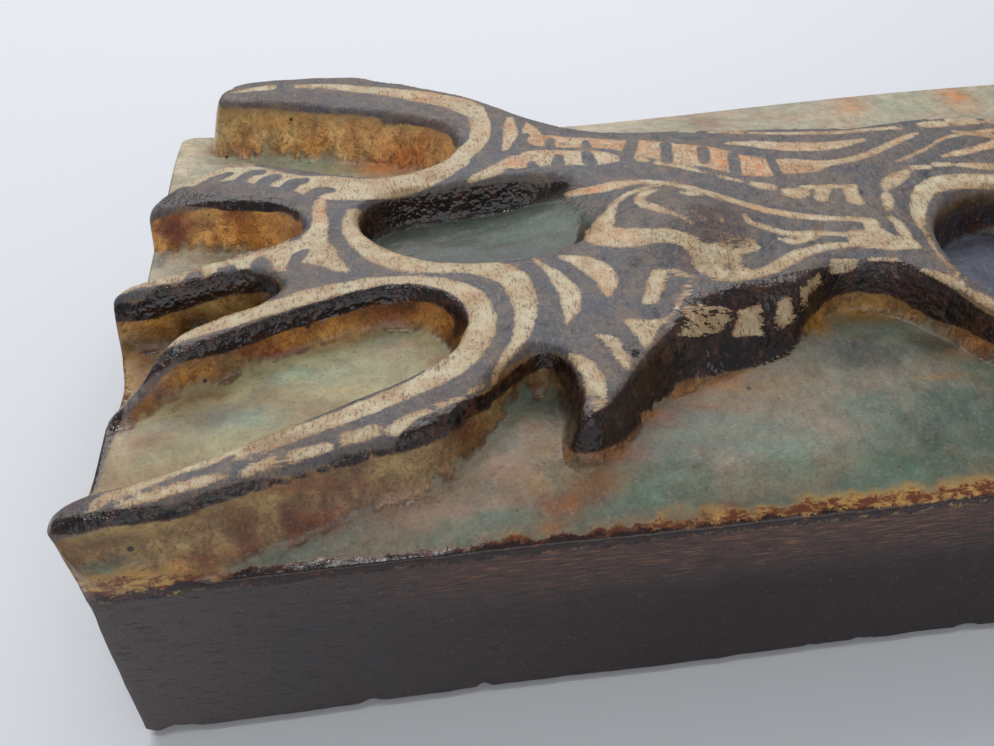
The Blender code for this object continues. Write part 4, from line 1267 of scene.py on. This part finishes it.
def cream_paint(f):
    """The cream of the strokes: peach in places, browner where it is dry or thin, and hatched in brown."""
    paint = f.mix(f.ease(f.patchy, -0.35, 0.35), tint(206, 193, 160), tint(190, 160, 120))
    paint = f.stained(paint, [(f.waver, -0.5, 0.15, 1.0, (216, 138, 82))], within=f.peach)
    paint = f.stained(paint, [(f.dusky, 0.0, 1.0, 0.6, (132, 108, 70))])
    paint = f.mix(f.times(f.dry, 0.6), paint, tint(150, 122, 82))
    paint = f.stained(paint, [
        (f.cream, -0.6, 0.0, 0.45, (162, 116, 76)),
        (f.blotch, 0.0, 0.4, 0.5, (170, 122, 78)),
        (f.blotch, -0.05, -0.4, 0.5, (224, 208, 168)),
    ])
    hatched = f.ease(f.blotch, -0.25, 0.15, 0.3, 1.0)
    paint = f.stained(paint, [(f.hatch, 0.05, 0.2, 0.9, (126, 96, 66))], within=hatched)
    return f.stained(paint, [
        (f.fray, 0.22, 0.45, 0.5, (86, 64, 48)),
        (f.crease, 0.04, 0.0, 0.30, (126, 82, 50)),
    ])


def black_ink(f):
    """The black of the bands and the flank, browner at its edges and where it lies thin."""
    ink = f.mix(f.ease(f.patchy, -0.25, 0.3), tint(20, 15, 17), tint(42, 25, 17))
    return f.stained(ink, [
        (f.dusky, 0.0, 1.0, 0.8, (56, 29, 21)),
        (f.ink_edge, -0.7, 0.1, 0.65, (70, 46, 36)),
        (f.blotch, 0.0, 0.35, 0.7, (88, 54, 38)),
        (f.hatch, 0.1, 0.4, 0.35, (98, 76, 60)),
        (f.waver, -0.05, -0.4, 0.7, (12, 8, 8)),
    ])


def iron_line(f):
    """The line of iron where the glaze stops along the front, and the stain above it.

    It is rust-red to the left and wider and golden towards the middle and at the very end. Returns
    the stain's mask and colour, then the line's mask and colour.
    """
    fringe = f.plus(f.line, f.plus(f.times(f.waver, 1.1), f.times(f.fray, 0.9)))
    above = f.plus(fringe, f.times(f.patchy, 1.2))
    front = f.ease(f.plus(f.across, f.times(f.along, 0.1)), -10, -40)
    gold = f.maths(
        "MAXIMUM",
        f.ease(f.plus(f.along, f.times(f.patchy, 60)), -85, -35),
        f.ease(f.plus(f.along, f.times(f.patchy, 8)), -111, -119),
    )

    def step(red_start, gold_start, red_end, gold_end):
        """A step across the line, at its own distances where the line is red and where it is golden."""
        return f.ease(above, f.blend(gold, red_start, gold_start), f.blend(gold, red_end, gold_end))

    stain = f.times(f.times(front, step(-2.4, -4.0, -1.2, -2.0)), f.blend(gold, 0.35, 0.75))
    stain_colour = f.mix(gold, tint(122, 76, 48), tint(182, 142, 76))
    iron = f.times(f.times(front, step(-1.5, -2.5, -1.2, -1.7)), f.ease(fringe, 1.3, 0.8))
    crust = f.mix(f.ease(f.rusty, 0.10, 0.40), tint(38, 18, 15), tint(92, 44, 32))
    golden = f.mix(f.ease(f.rusty, -0.15, 0.25), tint(108, 58, 34), tint(188, 146, 84))
    iron_colour = f.mix(step(-1.3, -0.6, -0.9, 0.0), f.mix(gold, tint(92, 44, 28), golden), crust)
    return stain, stain_colour, iron, iron_colour


def bare_clay(f):
    """The unglazed sides, streaked by the wire.

    They are paler at the left end, where the colour is painted light for the lit end face, darker towards
    the middle and the foot, and brown under the line.
    """
    cuts = f.noise(0.45, 3.0, 0.65, stretch=(7, 7, 0.8))
    clay = f.mix(f.ease(f.patchy, -0.35, 0.35), tint(74, 71, 73), tint(80, 70, 68))
    # Painted light: paler clay at the left end, standing in for its end face being lit more than the front
    clay = f.stained(clay, [(f.along, -100, -127, 0.7, (96, 88, 86))])
    # Darker towards the middle and towards the foot of the sides
    darkening = f.times(f.ease(f.along, -120, -50), f.ease(f.line, 1.0, 14.0, 0.2, 0.95))
    clay = f.mix(darkening, clay, tint(36, 30, 36))
    under_line = f.times(f.ease(f.along, -112, -75), f.ease(f.line, 12.0, 1.5, 0.1, 1.0))
    clay = f.mix(f.times(under_line, 0.5), clay, tint(108, 76, 64))
    clay = f.stained(clay, [(cuts, 0.06, 0.35, 1.0, (140, 100, 78))], within=under_line)
    return f.stained(clay, [
        (cuts, -0.05, -0.4, 0.7, (42, 38, 40)),
        (f.fray, 0.25, 0.5, 0.7, (122, 104, 96)),
        (f.grain, -0.15, -0.5, 0.9, (34, 30, 30)),
    ])


def fine_relief(f):
    """The bump: grain, soft waves, and smooth lumps where the black is thick, in millimetres of height."""
    low_skin = f.ease(f.depth, 1.1, 0.6)
    shiny = f.times(f.ease(f.ink_edge, 0.2, -0.2), f.ease(f.cream, -0.2, 0.2))
    bump = f.node("ShaderNodeBump")
    bump.inputs["Strength"].default_value = 0.8
    bump.inputs["Distance"].default_value = MM
    f.put(bump.inputs["Height"], f.plus(
        f.times(f.grain, f.blend(f.ease(f.line, 0.55, 0.95), f.blend(low_skin, 0.012, 0.045), 0.20)),
        f.times(f.waver, f.blend(low_skin, 0.06, 0.14)),
        f.times(f.noise(0.9, 1.0, 0.5), f.blend(shiny, f.blend(low_skin, 0.03, 0.08), 0.14)),
    ))
    return bump.outputs[0]


def painted_stoneware():
    """Glaze in the hollows, slate and cream brushwork on the skin, and bare clay below the glaze line.

    Each layer's mask lays its colour and its roughness over those of the layers before it.
    """
    f = Finish("painted_stoneware")
    read_surface(f)
    mask_strokes(f)
    slate = slate_paint(f)
    ink = black_ink(f)
    stain, stain_colour, iron, iron_colour = iron_line(f)
    colour = hollow_glaze(f)
    for mask, layer in (
        (f.skin, slate), (f.flank, ink), (f.light, cream_paint(f)), (f.tick, slate), (f.band, ink),
        (stain, stain_colour), (f.bare, bare_clay(f)), (iron, iron_colour),
    ):
        colour = f.mix(mask, colour, layer)
    roughness = f.blend(f.wall, 0.42, 0.26)
    for mask, value in (
        (f.skin, 0.48), (f.flank, 0.13), (f.light, 0.46), (f.band, 0.10), (f.bare, 0.72), (iron, 0.22),
    ):
        roughness = f.blend(mask, roughness, value)
    f.put(f.shader.inputs["Base Color"], colour)
    f.put(f.shader.inputs["Roughness"], f.plus(roughness, f.times(f.grain, 0.12)))
    f.put(f.shader.inputs["Normal"], fine_relief(f))
    return f.material


def pale_floor():
    """The floor's one even finish."""
    material = bpy.data.materials.new("pale_floor")
    material.use_nodes = True
    shader = material.node_tree.nodes["Principled BSDF"]
    shader.inputs["Base Color"].default_value = (*FLOOR_COLOUR, 1.0)
    shader.inputs["Roughness"].default_value = FLOOR_ROUGHNESS
    return material


# ---------------------------------------------------------------- the scene


def add_plaque():
    """The plaque, in place of its plain solid."""
    plaque = bpy.data.objects.new("carved_plaque", plaque_mesh())
    bpy.context.scene.collection.objects.link(plaque)
    plaque.data.shade_smooth()
    plaque.data.materials.append(painted_stoneware())
    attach(plaque, "root")
    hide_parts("plaque")


def add_floor():
    """A plain pale floor just under the plaque's back."""
    mesh = bpy.data.meshes.new("floor")
    corners = [(-1, -1), (1, -1), (1, 1), (-1, 1)]
    places = [(x * FLOOR_REACH, y * FLOOR_REACH, -FLOOR_GAP) for x, y in corners]
    mesh.from_pydata(places, [], [(0, 1, 2, 3)])
    mesh.materials.append(pale_floor())
    floor = bpy.data.objects.new("floor", mesh)
    bpy.context.scene.collection.objects.link(floor)


def add_lights():
    """A wide soft lamp from behind, a weaker one in front, a small one overhead, and a pale surround."""
    for name, (place, size, watts) in LAMPS.items():
        lamp = bpy.data.lights.new(name, "AREA")
        lamp.shape = "RECTANGLE"
        lamp.size, lamp.size_y = size
        lamp.energy = watts
        lamp.color = LAMP_COLOUR
        light = bpy.data.objects.new(name, lamp)
        light.location = place
        light.rotation_euler = (-light.location).to_track_quat("-Z", "Y").to_euler()
        bpy.context.scene.collection.objects.link(light)
    world = bpy.data.worlds.new("surround")
    world.use_nodes = True
    background = world.node_tree.nodes["Background"]
    background.inputs["Color"].default_value = (*SURROUND_COLOUR, 1.0)
    background.inputs["Strength"].default_value = SURROUND_STRENGTH
    bpy.context.scene.world = world
    bpy.context.scene.view_settings.view_transform = "Standard"


def add_camera():
    """The camera: close, in front of the left half, looking down at it."""
    lens = bpy.data.cameras.new("camera")
    lens.lens = CAMERA_LENS
    lens.sensor_width = CAMERA_FILM
    lens.clip_start = CAMERA_NEAREST
    camera = bpy.data.objects.new("camera", lens)
    turned = Matrix.Rotation(radians(-CAMERA_AZIMUTH), 4, "Z")
    tilted = Matrix.Rotation(radians(90 - CAMERA_PITCH), 4, "X")
    rolled = Matrix.Rotation(radians(CAMERA_ROLL), 4, "Z")
    camera.matrix_world = Matrix.Translation(CAMERA_PLACE) @ turned @ tilted @ rolled
    bpy.context.scene.collection.objects.link(camera)
    bpy.context.scene.camera = camera


add_camera()
add_plaque()
add_floor()
add_lights()
